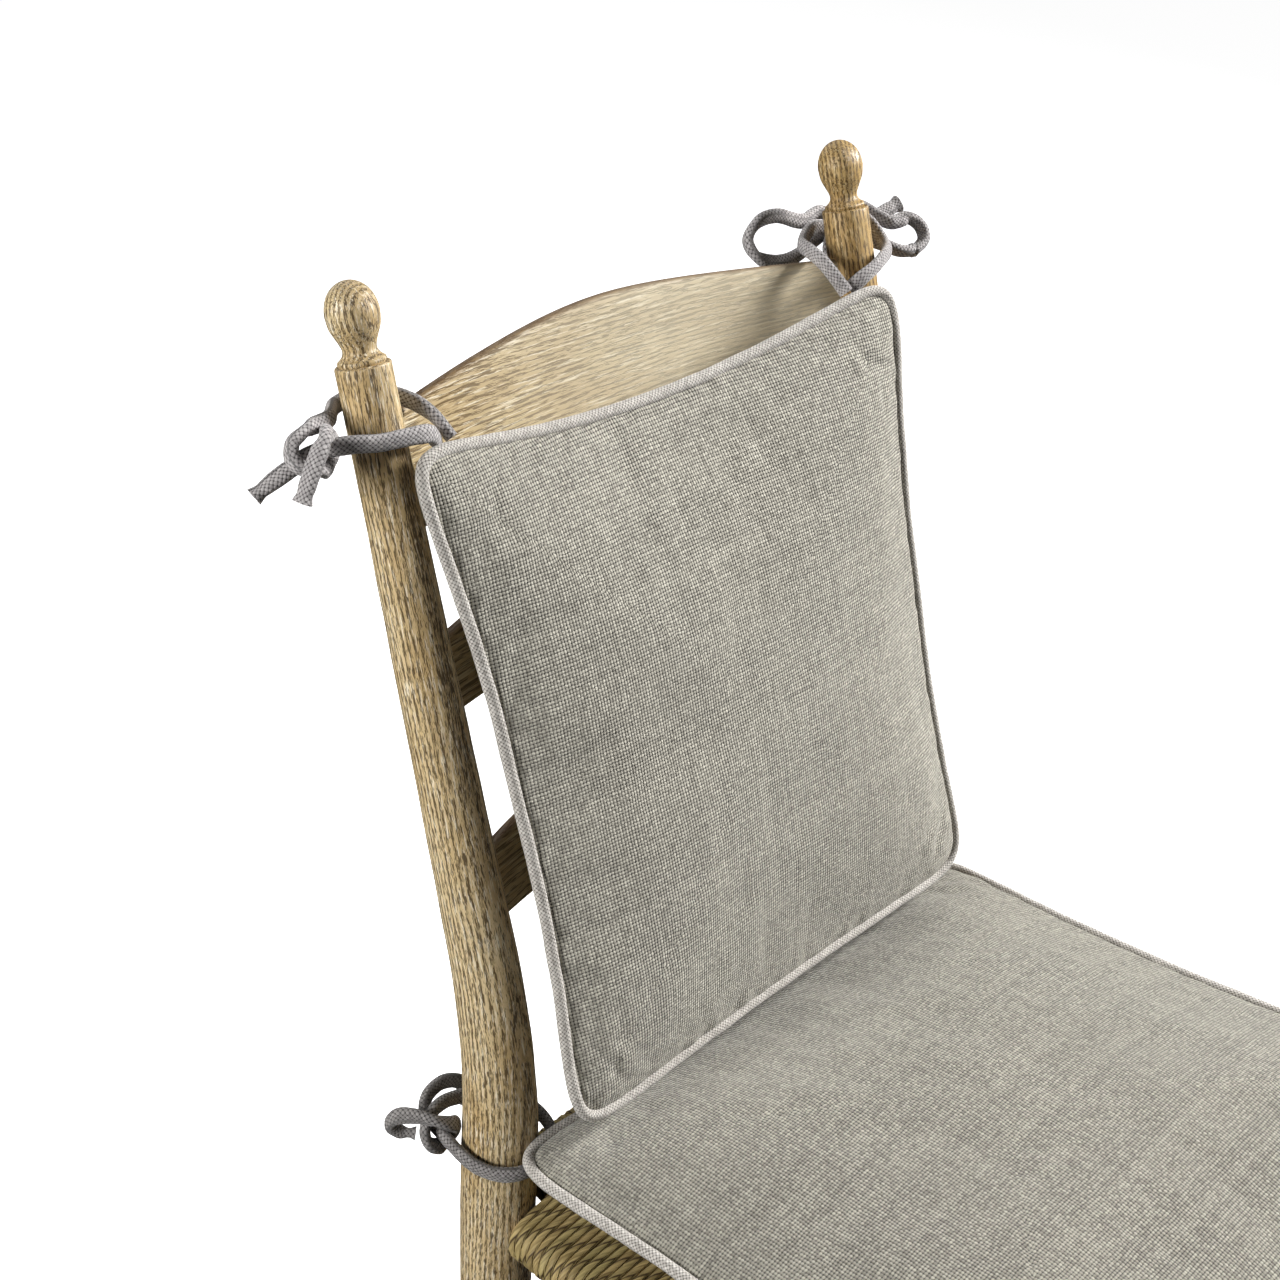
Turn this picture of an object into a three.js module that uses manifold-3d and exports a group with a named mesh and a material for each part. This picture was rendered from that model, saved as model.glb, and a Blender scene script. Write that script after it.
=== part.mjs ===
// A ladder-back side chair with a rush seat, and its tied seat and back cushions.
// Millimetres, +Z up. The sitter faces -Y, and the origin lies on the floor under the chair's middle.
import * as THREE from 'three';
import { mergeVertices } from 'three/addons/utils/BufferGeometryUtils.js';
import Module from 'manifold-3d';

const wasm = await Module();
wasm.setup();

// ---------- driving dimensions ----------

const GAP = 0.3;                     // clearance between pieces that touch
const GLIDE_HEIGHT = 3;              // the wood starts this far above the floor

// Rear posts: one bent turning each, splayed below the bend and raked above it.
const POST_X = 210;                  // half the spacing of the post axes
const POST_FOOT_Y = 199.8;           // the post axis where it meets the floor
const POST_SPLAY = Math.atan(0.08);
const POST_RAKE = Math.atan(0.2141);
const BEND_HEIGHT = 555;             // where the two straight axes cross
const BEND_RADIUS = 520;
const RIM_HEIGHT = 973;              // shoulder under the finial
const POST_WIDTHS = [                // [height, diameter]
  [0, 34], [90, 37], [250, 44], [446, 48.9], [545, 44.8],
  [643, 40], [769, 35.8], [876, 32.5], [971, 31.2],
];
const FINIAL = { ring: 26.7, ringHeight: 3.3, neck: 18.4, neckAt: 7.7, egg: 30, eggAt: 27.6, apexAt: 45.4 };

// Front legs.
const LEG_X = 235;
const LEG_Y = -254;
const LEG_TOP = 461;
const LEG_WIDTH = 44;

// Slats: the distances below the rim are measured along the post.
const SLAT_END = 214;                // half the length over the tenons
const SLAT_THICKNESS = 10;
const SLAT_BOW = 32;                 // how far the middle stands behind the ends
const SLAT_EDGE = 4;                 // depth of the rounding along both edges
const SLAT_ARCH = 8.5;               // steepness of the arched top edge
const SLAT_ARCH_WIDTH = 60;
const SLATS = {
  crest_slat: { top: -11, bottom: -100 },
  middle_slat: { top: -146, bottom: -211.3 },
  lower_slat: { top: -282, bottom: -348.3 },
};

// Round rails inside the rush, and the stretchers.
const RAIL_WIDTH = 22;
const RAIL_TENON = 16;
const STRETCHER_TENON = 14;
const TENON_DEPTH = 20;
const STRETCHER_WIDTH = 22;
const FRONT_STRETCHER_WIDTH = 21;
const BULB_WIDTH = 34;               // the turned bulb in the middle of a front stretcher
const FRONT_STRETCHER_HEIGHTS = { upper: 305, lower: 205 };
const SIDE_STRETCHER_HEIGHTS = { upper: 270, lower: 160 };
const REAR_STRETCHER_HEIGHT = 235;
const CROSS_RAIL_HEIGHT = 434;       // front and rear rails
const SIDE_RAIL_HEIGHT = 417;

// Rush seat.
const RUSH_THICKNESS = 6;            // rush laid over a rail
const RUSH_DISH = 5;                 // how far the middle sinks

// Cushions: a superellipse outline whose sides are pulled in between the corners.
const PIPING_WIDTH = 7.5;
const OUTLINE_POWER = 14;
const SEAM_ALLOWANCE = 2;            // between the piping and the plain outline of the cover
const COVER_WALL = 1.2;
const ZIP_LENGTH = 300;
const ZIP_WIDTH = 7;
const BACK_CUSHION = {
  halfWidth: 218, pinchSides: 0.12, lowerTaper: 0.07,
  upper: 222, pinchTop: 0.126, lower: 213,
  centre: -266, puff: 34,
  bowAtTop: 20, bowAtFoot: 7,        // how far the seam's middle hangs back between its sides
  standAtTop: -30, standAtFoot: -45, // the seam's place before the post axes
};
const SEAT_CUSHION = {
  halfWidth: 242, flare: 0.0585, pinch: 0.07,
  halfDepth: 210.8, centreY: -70.5,
  height: 488, puffUp: 33, puffDown: 35.5,
};

// Ties: tubular braided cotton, folded in half and sewn into a cushion's corner.
const TIE_WIDTH = 7.6;

// Each tie's two strands run from the cushion's corner round the post to a knot and a cut end.
const TIE_ROUTES = {
  upper_left_front: { steps: 14, points: [
    [-186, 217, 930.5], [-192, 213.5, 936], [-201, 211, 939], [-213, 212, 940], [-226, 216, 940],
    [-238, 222, 941], [-250, 229.5, 940], [-260, 234, 937], [-268, 238, 932], [-278, 242, 926],
    [-288, 245, 920],
  ] },
  upper_left_rear: { steps: 36, points: [
    [-176, 217.5, 931], [-178.5, 224, 939], [-183, 233, 945.5], [-188, 243, 949], [-194.5, 255, 950],
    [-205, 261.5, 948.5], [-218, 261.5, 947], [-236, 245, 948.5], [-250.5, 240, 950],
    [-258.5, 238.5, 949], [-267, 236.5, 945.5], [-270.5, 231.5, 939], [-266, 227.5, 933.5],
    [-256, 227.5, 930], [-245.5, 233, 930.5], [-240.5, 236.5, 936], [-242.5, 235.5, 944],
    [-249, 229.5, 948.5], [-257.5, 222.5, 947.5], [-264.5, 219, 942.5], [-272, 217, 933],
    [-277.5, 217.5, 921.5],
  ] },
  upper_right_outer: { steps: 40, points: [
    [186, 217, 930.5], [192, 213.5, 936], [202, 212.5, 940], [215, 215.5, 943], [229, 222, 944],
    [239, 233, 946], [239, 247, 957.5], [240, 258.5, 956], [235, 265, 955.5], [230, 271, 956.5],
    [221.5, 275.5, 962], [201.5, 275, 960], [179, 279.5, 967.5], [161, 281, 966], [150.5, 280, 956.5],
    [153.5, 275, 946], [169, 271.5, 939], [189.5, 270.5, 938.5], [221.5, 277, 943.5], [232.5, 274, 948],
    [239, 267.5, 948.5], [245.5, 262, 949], [255, 262, 950.5], [275.5, 260.5, 954],
    [289.5, 258.5, 957.5],
  ] },
  upper_right_inner: { steps: 48, points: [
    [176, 217.5, 931], [172.5, 224, 940], [171.5, 234, 948], [175, 247, 951], [183, 259, 951.5],
    [203.5, 267, 956.5], [215, 264, 956], [225, 262, 960.5], [235.5, 269.5, 964.5], [243.5, 275.5, 955],
    [242.5, 272, 941.5], [234, 262, 937.5], [228, 254, 947], [231.5, 255, 960.5], [242, 262.5, 964.5],
    [250.5, 261.5, 962.5], [265, 247, 951.5], [282.5, 243.5, 951.5], [290.5, 239, 945],
    [289.5, 234.5, 937.5], [278, 233, 932.5], [264.5, 235, 933.5], [254.5, 240.5, 938],
    [243.5, 251, 944.5], [238, 256.5, 947.5], [232.5, 262.5, 948.5], [226, 266, 946.5],
    [221, 265.5, 940], [218.5, 263.5, 931],
  ] },
  seat_outer: { steps: 15, points: [
    [-213.5, 129, 478], [-224, 132.5, 478.5], [-233, 141, 479.5], [-238.5, 152.5, 482],
    [-240, 165, 485.5], [-240, 177, 489.5], [-240, 189, 493.5], [-238, 200, 497], [-229, 207, 500],
    [-216, 209, 501], [-204, 208, 496], [-197, 208, 486], [-195, 209, 474],
  ] },
  seat_inner: { steps: 30, points: [
    [-203, 129, 478], [-193, 132.5, 479.5], [-184, 141, 481.5], [-180.5, 154, 485], [-181.5, 168, 488],
    [-189, 181.5, 491], [-202, 190.2, 494.5], [-216, 193, 499], [-229, 192.5, 503], [-240, 190, 503.5],
    [-249, 187, 497], [-249, 184, 488], [-240, 182.5, 481.5], [-231.5, 181, 487.5], [-232, 177.5, 497],
    [-239, 175, 503], [-247, 179, 508], [-254, 190, 509.5], [-260, 200, 507], [-262, 205, 499],
    [-257, 202, 492], [-250, 195, 490],
  ] },
};

// ---------- materials ----------

const finish = (color, roughness) => new THREE.MeshStandardMaterial({ color, roughness, metalness: 0 });
const wood = () => finish(0xa08a63, 0.55);
const slatWood = () => finish(0xb39c74, 0.55);
const rush = () => finish(0xa8905c, 0.8);
const linen = () => finish(0x9a9488, 0.95);
const pipingLinen = () => finish(0xb5afa6, 0.9);
const tieCotton = () => finish(0xaaa6a1, 0.9);
const wadding = () => finish(0xeeeae0, 1);
const zipTape = () => finish(0x8d877c, 0.7);
const nylon = () => finish(0x6f675c, 0.5);

// ---------- solids ----------

/** Turns a closed three.js geometry into a manifold solid whose faces point out. */
function toSolid(geometry) {
  const bare = geometry.clone();
  for (const name of Object.keys(bare.attributes)) {
    if (name !== 'position') bare.deleteAttribute(name);
  }
  const merged = mergeVertices(bare, 1e-3);
  const points = merged.attributes.position.array;
  const triangles = [];
  for (let i = 0; i < merged.index.count; i += 3) {
    const [a, b, c] = merged.index.array.slice(i, i + 3);
    if (a !== b && b !== c && c !== a) triangles.push([a, b, c]);
  }
  const corner = (i) => new THREE.Vector3().fromArray(points, i * 3);
  let volume = 0;
  for (const [a, b, c] of triangles) volume += corner(a).dot(corner(b).cross(corner(c)));
  const outward = volume > 0 ? triangles : triangles.map(([a, b, c]) => [a, c, b]);
  return new wasm.Manifold(new wasm.Mesh({
    numProp: 3,
    vertProperties: new Float32Array(points),
    triVerts: new Uint32Array(outward.flat()),
  }));
}

/** A named mesh from a solid. */
function piece(name, solid, material) {
  const mesh = solid.getMesh();
  const geometry = new THREE.BufferGeometry();
  geometry.setAttribute('position', new THREE.BufferAttribute(new Float32Array(mesh.vertProperties), 3));
  geometry.setIndex(new THREE.BufferAttribute(new Uint32Array(mesh.triVerts), 1));
  geometry.computeVertexNormals();
  const made = new THREE.Mesh(geometry, material);
  made.name = name;
  return made;
}

/** Moves every vertex of a geometry through a function from Vector3 to Vector3. */
function reshape(geometry, move) {
  const position = geometry.attributes.position;
  for (let i = 0; i < position.count; i += 1) {
    const moved = move(new THREE.Vector3().fromBufferAttribute(position, i));
    position.setXYZ(i, moved.x, moved.y, moved.z);
  }
  return geometry;
}

function subtractAll(solid, cutters) {
  return cutters.reduce((rest, cutter) => rest.subtract(cutter), solid);
}

/** Crowds evenly spaced values between -1 and 1 towards the two ends. */
const crowded = (value) => Math.sin(value * Math.PI / 2);

/** A box with its middle at the given point. */
function block(size, middle) {
  return toSolid(new THREE.BoxGeometry(...size).translate(...middle));
}

/** A turning whose profile, [radius, distance] points, runs along the line from one point to another. */
function turning(from, to, profile, sides) {
  const along = new THREE.Vector3().subVectors(to, from).normalize();
  const turn = new THREE.Quaternion().setFromUnitVectors(new THREE.Vector3(0, 1, 0), along);
  const points = profile.map(([radius, distance]) => new THREE.Vector2(radius, distance));
  const geometry = new THREE.LatheGeometry(points, sides);
  return toSolid(geometry.applyQuaternion(turn).translate(from.x, from.y, from.z));
}

// ---------- the rear posts' bent axis ----------

const bendTangent = BEND_RADIUS * Math.tan((POST_RAKE + POST_SPLAY) / 2);
const bendStart = (BEND_HEIGHT - GLIDE_HEIGHT) / Math.cos(POST_SPLAY) - bendTangent;
const bendLength = BEND_RADIUS * (POST_RAKE + POST_SPLAY);

/** The point and the lean of the post axis at a distance along it from the foot. */
function postAxis(distance) {
  const lower = Math.min(distance, bendStart);
  const around = Math.min(Math.max(distance - bendStart, 0), bendLength);
  const upper = Math.max(distance - bendStart - bendLength, 0);
  const lean = around / BEND_RADIUS - POST_SPLAY;
  const footY = POST_FOOT_Y - GLIDE_HEIGHT * Math.tan(POST_SPLAY);
  const y = footY - lower * Math.sin(POST_SPLAY)
    + BEND_RADIUS * (Math.cos(POST_SPLAY) - Math.cos(lean)) + upper * Math.sin(lean);
  const z = GLIDE_HEIGHT + lower * Math.cos(POST_SPLAY)
    + BEND_RADIUS * (Math.sin(lean) + Math.sin(POST_SPLAY)) + upper * Math.cos(lean);
  return { y, z, lean };
}

/** The distance along the axis at a height above the floor, by halving. */
function postDistance(height) {
  let low = 0;
  let high = 1200;
  for (let i = 0; i < 40; i += 1) {
    const middle = (low + high) / 2;
    if (postAxis(middle).z < height) low = middle;
    else high = middle;
  }
  return low;
}

/** The post axis's y at a height. */
const postY = (height) => postAxis(postDistance(height)).y;

/** The post's radius at a height, between the listed widths. */
function postRadius(height) {
  const next = POST_WIDTHS.findIndex(([at]) => at >= height);
  const [lowAt, lowWidth] = POST_WIDTHS[next - 1];
  const [highAt, highWidth] = POST_WIDTHS[next];
  return THREE.MathUtils.mapLinear(height, lowAt, highAt, lowWidth, highWidth) / 2;
}

const rimDistance = postDistance(RIM_HEIGHT);
const rim = postAxis(rimDistance);

/** A point of the back: across, up along the posts from the rim, and behind the post axes. */
function onBack(across, up, behind) {
  return new THREE.Vector3(
    across,
    rim.y + up * Math.sin(POST_RAKE) + behind * Math.cos(POST_RAKE),
    rim.z + up * Math.cos(POST_RAKE) - behind * Math.sin(POST_RAKE),
  );
}

// ---------- turned pieces ----------

/** The profile of a rear post, foot to finial, as Vector2(radius, distance along the axis). */
function postProfile() {
  const widths = POST_WIDTHS.map(([height, width]) => new THREE.Vector2(width / 2, postDistance(height)));
  widths[0].y = -GLIDE_HEIGHT;
  const body = new THREE.SplineCurve(widths).getPoints(22);
  const finial = new THREE.Path();
  finial.moveTo(POST_WIDTHS.at(-1)[1] / 2 - 0.6, rimDistance);
  finial.lineTo(FINIAL.ring / 2 - 0.6, rimDistance);
  finial.lineTo(FINIAL.ring / 2, rimDistance + FINIAL.ringHeight / 2);
  finial.lineTo(FINIAL.ring / 2 - 0.9, rimDistance + FINIAL.ringHeight);
  finial.lineTo(FINIAL.neck / 2, rimDistance + FINIAL.neckAt);
  finial.bezierCurveTo(
    FINIAL.neck / 2, rimDistance + FINIAL.neckAt + 5,
    FINIAL.egg / 2, rimDistance + FINIAL.eggAt - 9,
    FINIAL.egg / 2, rimDistance + FINIAL.eggAt,
  );
  const capHeight = FINIAL.apexAt - FINIAL.eggAt;
  finial.absellipse(0, rimDistance + FINIAL.eggAt, FINIAL.egg / 2, capHeight, 0, Math.PI / 2);
  const top = finial.getPoints(4);
  top.at(-1).x = 0;
  return [new THREE.Vector2(0, -GLIDE_HEIGHT), ...body, ...top];
}

/** A whole rear post before its mortises are cut. */
function postBlank(x) {
  const turned = new THREE.LatheGeometry(postProfile(), 16);
  const bent = reshape(turned, (vertex) => {
    const axis = postAxis(vertex.y);
    return new THREE.Vector3(
      x + vertex.x,
      axis.y + vertex.z * Math.cos(axis.lean),
      axis.z - vertex.z * Math.sin(axis.lean),
    );
  });
  const below = block([100, 100, 40], [x, POST_FOOT_Y, GLIDE_HEIGHT - 20]);
  return toSolid(bent).subtract(below);
}

/** A whole front leg before its mortises are cut: a ball foot, a bead, and a domed top. */
function legBlank(x) {
  const radius = LEG_WIDTH / 2;
  const outline = new THREE.Path();
  outline.moveTo(0, 0);
  outline.lineTo(14, 0);
  outline.bezierCurveTo(22, 12, 22, 34, 14, 44);
  outline.lineTo(13.5, 49);
  outline.lineTo(17.5, 52);
  outline.lineTo(17.5, 57);
  outline.lineTo(15, 60);
  outline.bezierCurveTo(16, 120, radius, 200, radius, 320);
  outline.lineTo(radius, LEG_TOP - GLIDE_HEIGHT - 10);
  outline.absellipse(0, LEG_TOP - GLIDE_HEIGHT - 10, radius, 10, 0, Math.PI / 2);
  const profile = outline.getPoints(4).map((point) => [Math.max(point.x, 0), point.y]);
  profile.at(-1)[0] = 0;
  const foot = new THREE.Vector3(x, LEG_Y, GLIDE_HEIGHT);
  return turning(foot, new THREE.Vector3(x, LEG_Y, LEG_TOP), profile, 16);
}

/** The front leg's radius at the heights where rails and stretchers enter it. */
function legRadius(height) {
  return height > 320 ? LEG_WIDTH / 2 : THREE.MathUtils.mapLinear(height, 60, 320, 15.5, LEG_WIDTH / 2);
}

/**
 * The round pieces between the uprights. Each has its two ends on the axes of the uprights,
 * their radii there, its widths, and a bulb in the middle if it is a decorated one.
 */
function crossPieces() {
  const pieces = {};
  const add = (name, from, to, radii, tenon, width, bulb = 0) => {
    pieces[name] = { from, to, radii, tenon, width, bulb };
  };
  const at = (x, y, z) => new THREE.Vector3(x, y, z);
  const high = CROSS_RAIL_HEIGHT;
  const low = SIDE_RAIL_HEIGHT;
  const frontRadii = (z) => [legRadius(z), legRadius(z)];
  add('front_rail', at(-LEG_X, LEG_Y, high), at(LEG_X, LEG_Y, high),
    frontRadii(high), RAIL_TENON, RAIL_WIDTH);
  add('rear_rail', at(-POST_X, postY(high), high), at(POST_X, postY(high), high),
    [postRadius(high), postRadius(high)], RAIL_TENON, RAIL_WIDTH);
  for (const [name, z] of Object.entries(FRONT_STRETCHER_HEIGHTS)) {
    add(`front_stretcher_${name}`, at(-LEG_X, LEG_Y, z), at(LEG_X, LEG_Y, z),
      frontRadii(z), STRETCHER_TENON, FRONT_STRETCHER_WIDTH, BULB_WIDTH);
  }
  const rear = REAR_STRETCHER_HEIGHT;
  add('rear_stretcher', at(-POST_X, postY(rear), rear), at(POST_X, postY(rear), rear),
    [postRadius(rear), postRadius(rear)], STRETCHER_TENON, STRETCHER_WIDTH);
  for (const [side, sign] of [['left', -1], ['right', 1]]) {
    const across = (z) => [at(sign * LEG_X, LEG_Y, z), at(sign * POST_X, postY(z), z)];
    const radii = (z) => [legRadius(z), postRadius(z)];
    add(`${side}_rail`, ...across(low), radii(low), RAIL_TENON, RAIL_WIDTH);
    for (const [name, z] of Object.entries(SIDE_STRETCHER_HEIGHTS)) {
      add(`${side}_stretcher_${name}`, ...across(z), radii(z), STRETCHER_TENON, STRETCHER_WIDTH);
    }
  }
  return pieces;
}

/** A rail or stretcher, swelling from its tenons to its full width. */
function crossPiece({ from, to, radii, tenon, width, bulb }) {
  const length = from.distanceTo(to);
  const tips = radii.map((radius) => radius - TENON_DEPTH);
  const half = (radius, tip) => [
    [0, tip], [tenon / 2, tip], [tenon / 2, radius + 0.5], [width / 2, radius + 22],
  ];
  const first = half(radii[0], tips[0]);
  const last = half(radii[1], tips[1]).map(([radius, distance]) => [radius, length - distance]).reverse();
  const middle = [];
  if (bulb) {
    const rise = [
      [width / 2, 75], [12.5, 68], [12.5, 63], [9, 58], [10, 48], [bulb / 2 - 2, 22], [bulb / 2, 0],
    ];
    const left = rise.map(([radius, distance]) => [radius, length / 2 - distance]);
    const right = rise.slice(0, -1).map(([radius, distance]) => [radius, length / 2 + distance]).reverse();
    middle.push(...left, ...right);
  }
  return turning(from, to, [...first, ...middle, ...last], 12);
}

/** The two holes that a cross piece's tenons go into. */
function mortises({ from, to, radii, tenon }) {
  const hole = (start, end, radius) => turning(start, end, [
    [0, radius - TENON_DEPTH - GAP], [tenon / 2 + GAP, radius - TENON_DEPTH - GAP],
    [tenon / 2 + GAP, radius + 8], [0, radius + 8],
  ], 12);
  return [hole(from, to, radii[0]), hole(to, from, radii[1])];
}

// ---------- slats ----------

/** How far a slat's arched top edge has dropped at a distance from its middle. */
const archDrop = (across) => SLAT_ARCH * (Math.hypot(1, across / SLAT_ARCH_WIDTH) - 1);

/** How far behind the post axes a slat's middle surface runs. */
const slatBow = (across) => SLAT_BOW * (1 - (across / POST_X) ** 2);

/** A bowed slat with an arched top and rounded edges; grow makes the mortise cutter. */
function slat({ top, bottom }, grow = 0) {
  const sheet = new THREE.BoxGeometry(2, 3, 2, 16, 3, 2);
  const bent = reshape(sheet, (vertex) => {
    const across = vertex.x * (SLAT_END + grow);
    const high = top - archDrop(across) + grow;
    const low = bottom - grow;
    const side = Math.sign(vertex.y);
    const onEdge = Math.abs(vertex.y) > 1;
    const crown = onEdge && Math.abs(vertex.z) < 0.5;
    const inset = onEdge ? (crown ? 0 : 1.4) : SLAT_EDGE;
    const up = side > 0 ? high - inset : low + inset;
    const halfThickness = SLAT_THICKNESS / 2 + grow;
    const reach = onEdge ? halfThickness - 1.6 : halfThickness;
    return onBack(across, up, slatBow(across) + vertex.z * reach);
  });
  return toSolid(bent);
}

// ---------- rush seat ----------

/** The four-cornered outline of the rail axes, from fractions across and from front to rear. */
function railPoint(across, back) {
  const halfWidth = THREE.MathUtils.lerp(LEG_X, POST_X, back);
  return [across * halfWidth, THREE.MathUtils.lerp(LEG_Y, postY(CROSS_RAIL_HEIGHT), back)];
}

/** The woven seat as one solid wrapped round the four rails; the cutters are the uprights and the rails. */
function rushSeat(cutters) {
  const wrap = RAIL_WIDTH / 2 + RUSH_THICKNESS;
  const slab = new THREE.BoxGeometry(2, 2, 2, 8, 8, 2);
  return subtractAll(toSolid(reshape(slab, (vertex) => {
    const alongX = Math.abs(vertex.x) > 0.999 ? Math.sign(vertex.x) : 0;
    const alongY = Math.abs(vertex.y) > 0.999 ? Math.sign(vertex.y) : 0;
    const across = crowded(vertex.x);
    const back = crowded(vertex.y);
    const nearSide = Math.abs(across) ** 6;
    const nearEnd = Math.abs(back) ** 6;
    const aboveRail = THREE.MathUtils.lerp(CROSS_RAIL_HEIGHT, SIDE_RAIL_HEIGHT, nearSide * (1 - nearEnd));
    const belowRail = THREE.MathUtils.lerp(CROSS_RAIL_HEIGHT, SIDE_RAIL_HEIGHT, nearSide);
    const middle = THREE.MathUtils.lerp(belowRail, aboveRail, (vertex.z + 1) / 2);
    const onRim = alongX !== 0 || alongY !== 0;
    const half = THREE.MathUtils.lerp(wrap - RUSH_DISH, wrap, Math.max(nearSide, nearEnd));
    const [x, y] = railPoint(across, (back + 1) / 2);
    const reach = (vertex.z === 0 ? wrap : wrap - 6) * (alongX && alongY ? 0.7 : 1);
    return new THREE.Vector3(
      x + alongX * reach,
      y + alongY * reach,
      middle + vertex.z * (onRim ? half * 0.68 : half),
    );
  })), cutters);
}

/** An upright as the rush sees it, with clearance. */
function upright(x, isPost) {
  const y = isPost ? postY(CROSS_RAIL_HEIGHT) : LEG_Y;
  const radius = isPost ? postRadius(CROSS_RAIL_HEIGHT) + 1 : LEG_WIDTH / 2 + 0.6;
  const lean = isPost ? POST_SPLAY : 0;
  const cylinder = new THREE.CylinderGeometry(radius, radius, 100, 16).rotateX(Math.PI / 2 + lean);
  return toSolid(cylinder.translate(x, y, CROSS_RAIL_HEIGHT));
}

/** The space that a rail takes up in the rush, with clearance. */
function tunnel({ from, to, width }) {
  const radius = width / 2 + 2 * GAP;
  const length = from.distanceTo(to);
  return turning(from, to, [[0, 0], [radius, 0], [radius, length], [0, length]], 12);
}

// ---------- cushions ----------

/** Maps a point of the square -1..1 to the unit superellipse, and gives how near its rim it lies. */
function onOutline(u, v) {
  const reach = Math.max(Math.abs(u), Math.abs(v));
  const angle = Math.atan2(v, u);
  const power = OUTLINE_POWER;
  const radius = (Math.abs(Math.cos(angle)) ** power + Math.abs(Math.sin(angle)) ** power) ** (-1 / power);
  return { x: reach * radius * Math.cos(angle), y: reach * radius * Math.sin(angle), reach };
}

/** The thickness of a stuffed pad between its middle (0) and its seam (1). */
const puff = (reach) => (1 - reach ** 2.2) ** 0.6;

/** A point of the back cushion: outline coordinates, distance inside the seam, and height off the seam. */
function onBackCushion(x, y, inside, off) {
  const c = BACK_CUSHION;
  const taper = 1 - c.lowerTaper * Math.max(-y, 0);
  const across = x * (c.halfWidth - inside) * taper * (1 - c.pinchSides * (1 - y * y));
  const rise = y > 0 ? y * (c.upper - inside) * (1 - c.pinchTop * (1 - x * x)) : y * (c.lower - inside);
  const down = (1 - y) / 2;
  const bow = THREE.MathUtils.lerp(c.bowAtTop, c.bowAtFoot, down) * (1 - x * x);
  const stand = THREE.MathUtils.lerp(c.standAtTop, c.standAtFoot, down);
  return onBack(across, c.centre + rise, stand + bow + off);
}

/** A point of the seat cushion, in the same terms; off is upwards. */
function onSeatCushion(x, y, inside, off) {
  const c = SEAT_CUSHION;
  const across = x * (c.halfWidth - inside) * (1 - c.flare * y) * (1 - c.pinch * (1 - y * y));
  const back = y * (c.halfDepth - inside) * (1 - c.pinch * (1 - x * x));
  return new THREE.Vector3(across, c.centreY + back, c.height + off);
}

/** A stuffed pad: place puts outline points in the chair, and puffs are its two half thicknesses. */
function pad(place, inside, [upper, lower], edge) {
  const grid = new THREE.BoxGeometry(2, 2, 2, 8, 8, 1);
  return toSolid(reshape(grid, (vertex) => {
    const { x, y, reach } = onOutline(crowded(vertex.x), crowded(vertex.y));
    const height = vertex.z > 0 ? upper : lower;
    return place(x, y, inside, vertex.z * (edge + height * puff(Math.min(reach, 1))));
  }));
}

/** The closed line of a cushion's seam. */
class SeamLine extends THREE.Curve {
  constructor(place) {
    super();
    this.place = place;
  }

  getPoint(t) {
    const angle = 2 * Math.PI * t;
    const shape = (value) => Math.sign(value) * Math.abs(value) ** 0.7;
    const u = shape(Math.cos(angle));
    const v = shape(Math.sin(angle));
    const scale = 1 / Math.max(Math.abs(u), Math.abs(v));
    const { x, y } = onOutline(u * scale, v * scale);
    return this.place(x, y, 0, 0);
  }

  getPointAt(t) {
    return this.getPoint(t);
  }

  getTangentAt(t) {
    return this.getTangent(t);
  }
}

/** The four pieces of a cushion: a hollow cover, its filling, the piping on the seam, and the zip. */
function cushion(name, place, puffs, slotMiddle, slotTurn, fillingName) {
  const inside = PIPING_WIDTH / 2 + SEAM_ALLOWANCE;
  const outer = pad(place, inside, puffs, 1.5);
  const thinner = (amount) => puffs.map((height) => height - amount);
  const hollow = pad(place, inside + 3, thinner(COVER_WALL), 0.8);
  const filling = pad(place, inside + 3 + GAP, thinner(COVER_WALL + 2 * GAP), 0.5);
  const slot = (shrink) => toSolid(new THREE.BoxGeometry(ZIP_LENGTH - shrink, ZIP_WIDTH - shrink, 30)
    .rotateX(slotTurn).translate(slotMiddle.x, slotMiddle.y, slotMiddle.z));
  const shell = outer.subtract(hollow);
  const tube = new THREE.TubeGeometry(new SeamLine(place), 60, PIPING_WIDTH / 2, 8, true);
  return [
    piece(`${name}_cover`, shell.subtract(slot(0)), linen()),
    piece(`${name}_${fillingName}`, filling, wadding()),
    piece(`${name}_piping`, toSolid(tube), pipingLinen()),
    piece(`${name}_zip`, shell.intersect(slot(2 * GAP)), zipTape()),
  ];
}

// ---------- ties ----------

/** A strand of a tie along its route; sign mirrors it to the other side of the chair. */
function tieStrand({ steps, points }, sign = 1) {
  const corners = points.map(([x, y, z]) => new THREE.Vector3(sign * x, y, z));
  const extrudePath = new THREE.CatmullRomCurve3(corners);
  const section = new THREE.Shape();
  section.absarc(0, 0, TIE_WIDTH / 2, 0, 2 * Math.PI);
  const settings = { steps, extrudePath, curveSegments: 4, bevelEnabled: false };
  return toSolid(new THREE.ExtrudeGeometry(section, settings));
}

// ---------- assembly ----------

const chair = new THREE.Group();
const frame = new THREE.Group();
const seat = new THREE.Group();
const backCushion = new THREE.Group();
const seatCushion = new THREE.Group();
const ties = new THREE.Group();
chair.add(frame, seat, backCushion, seatCushion, ties);

const crosses = crossPieces();
const holes = Object.values(crosses).flatMap(mortises);
const slatHoles = Object.values(SLATS).map((size) => slat(size, GAP));

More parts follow.
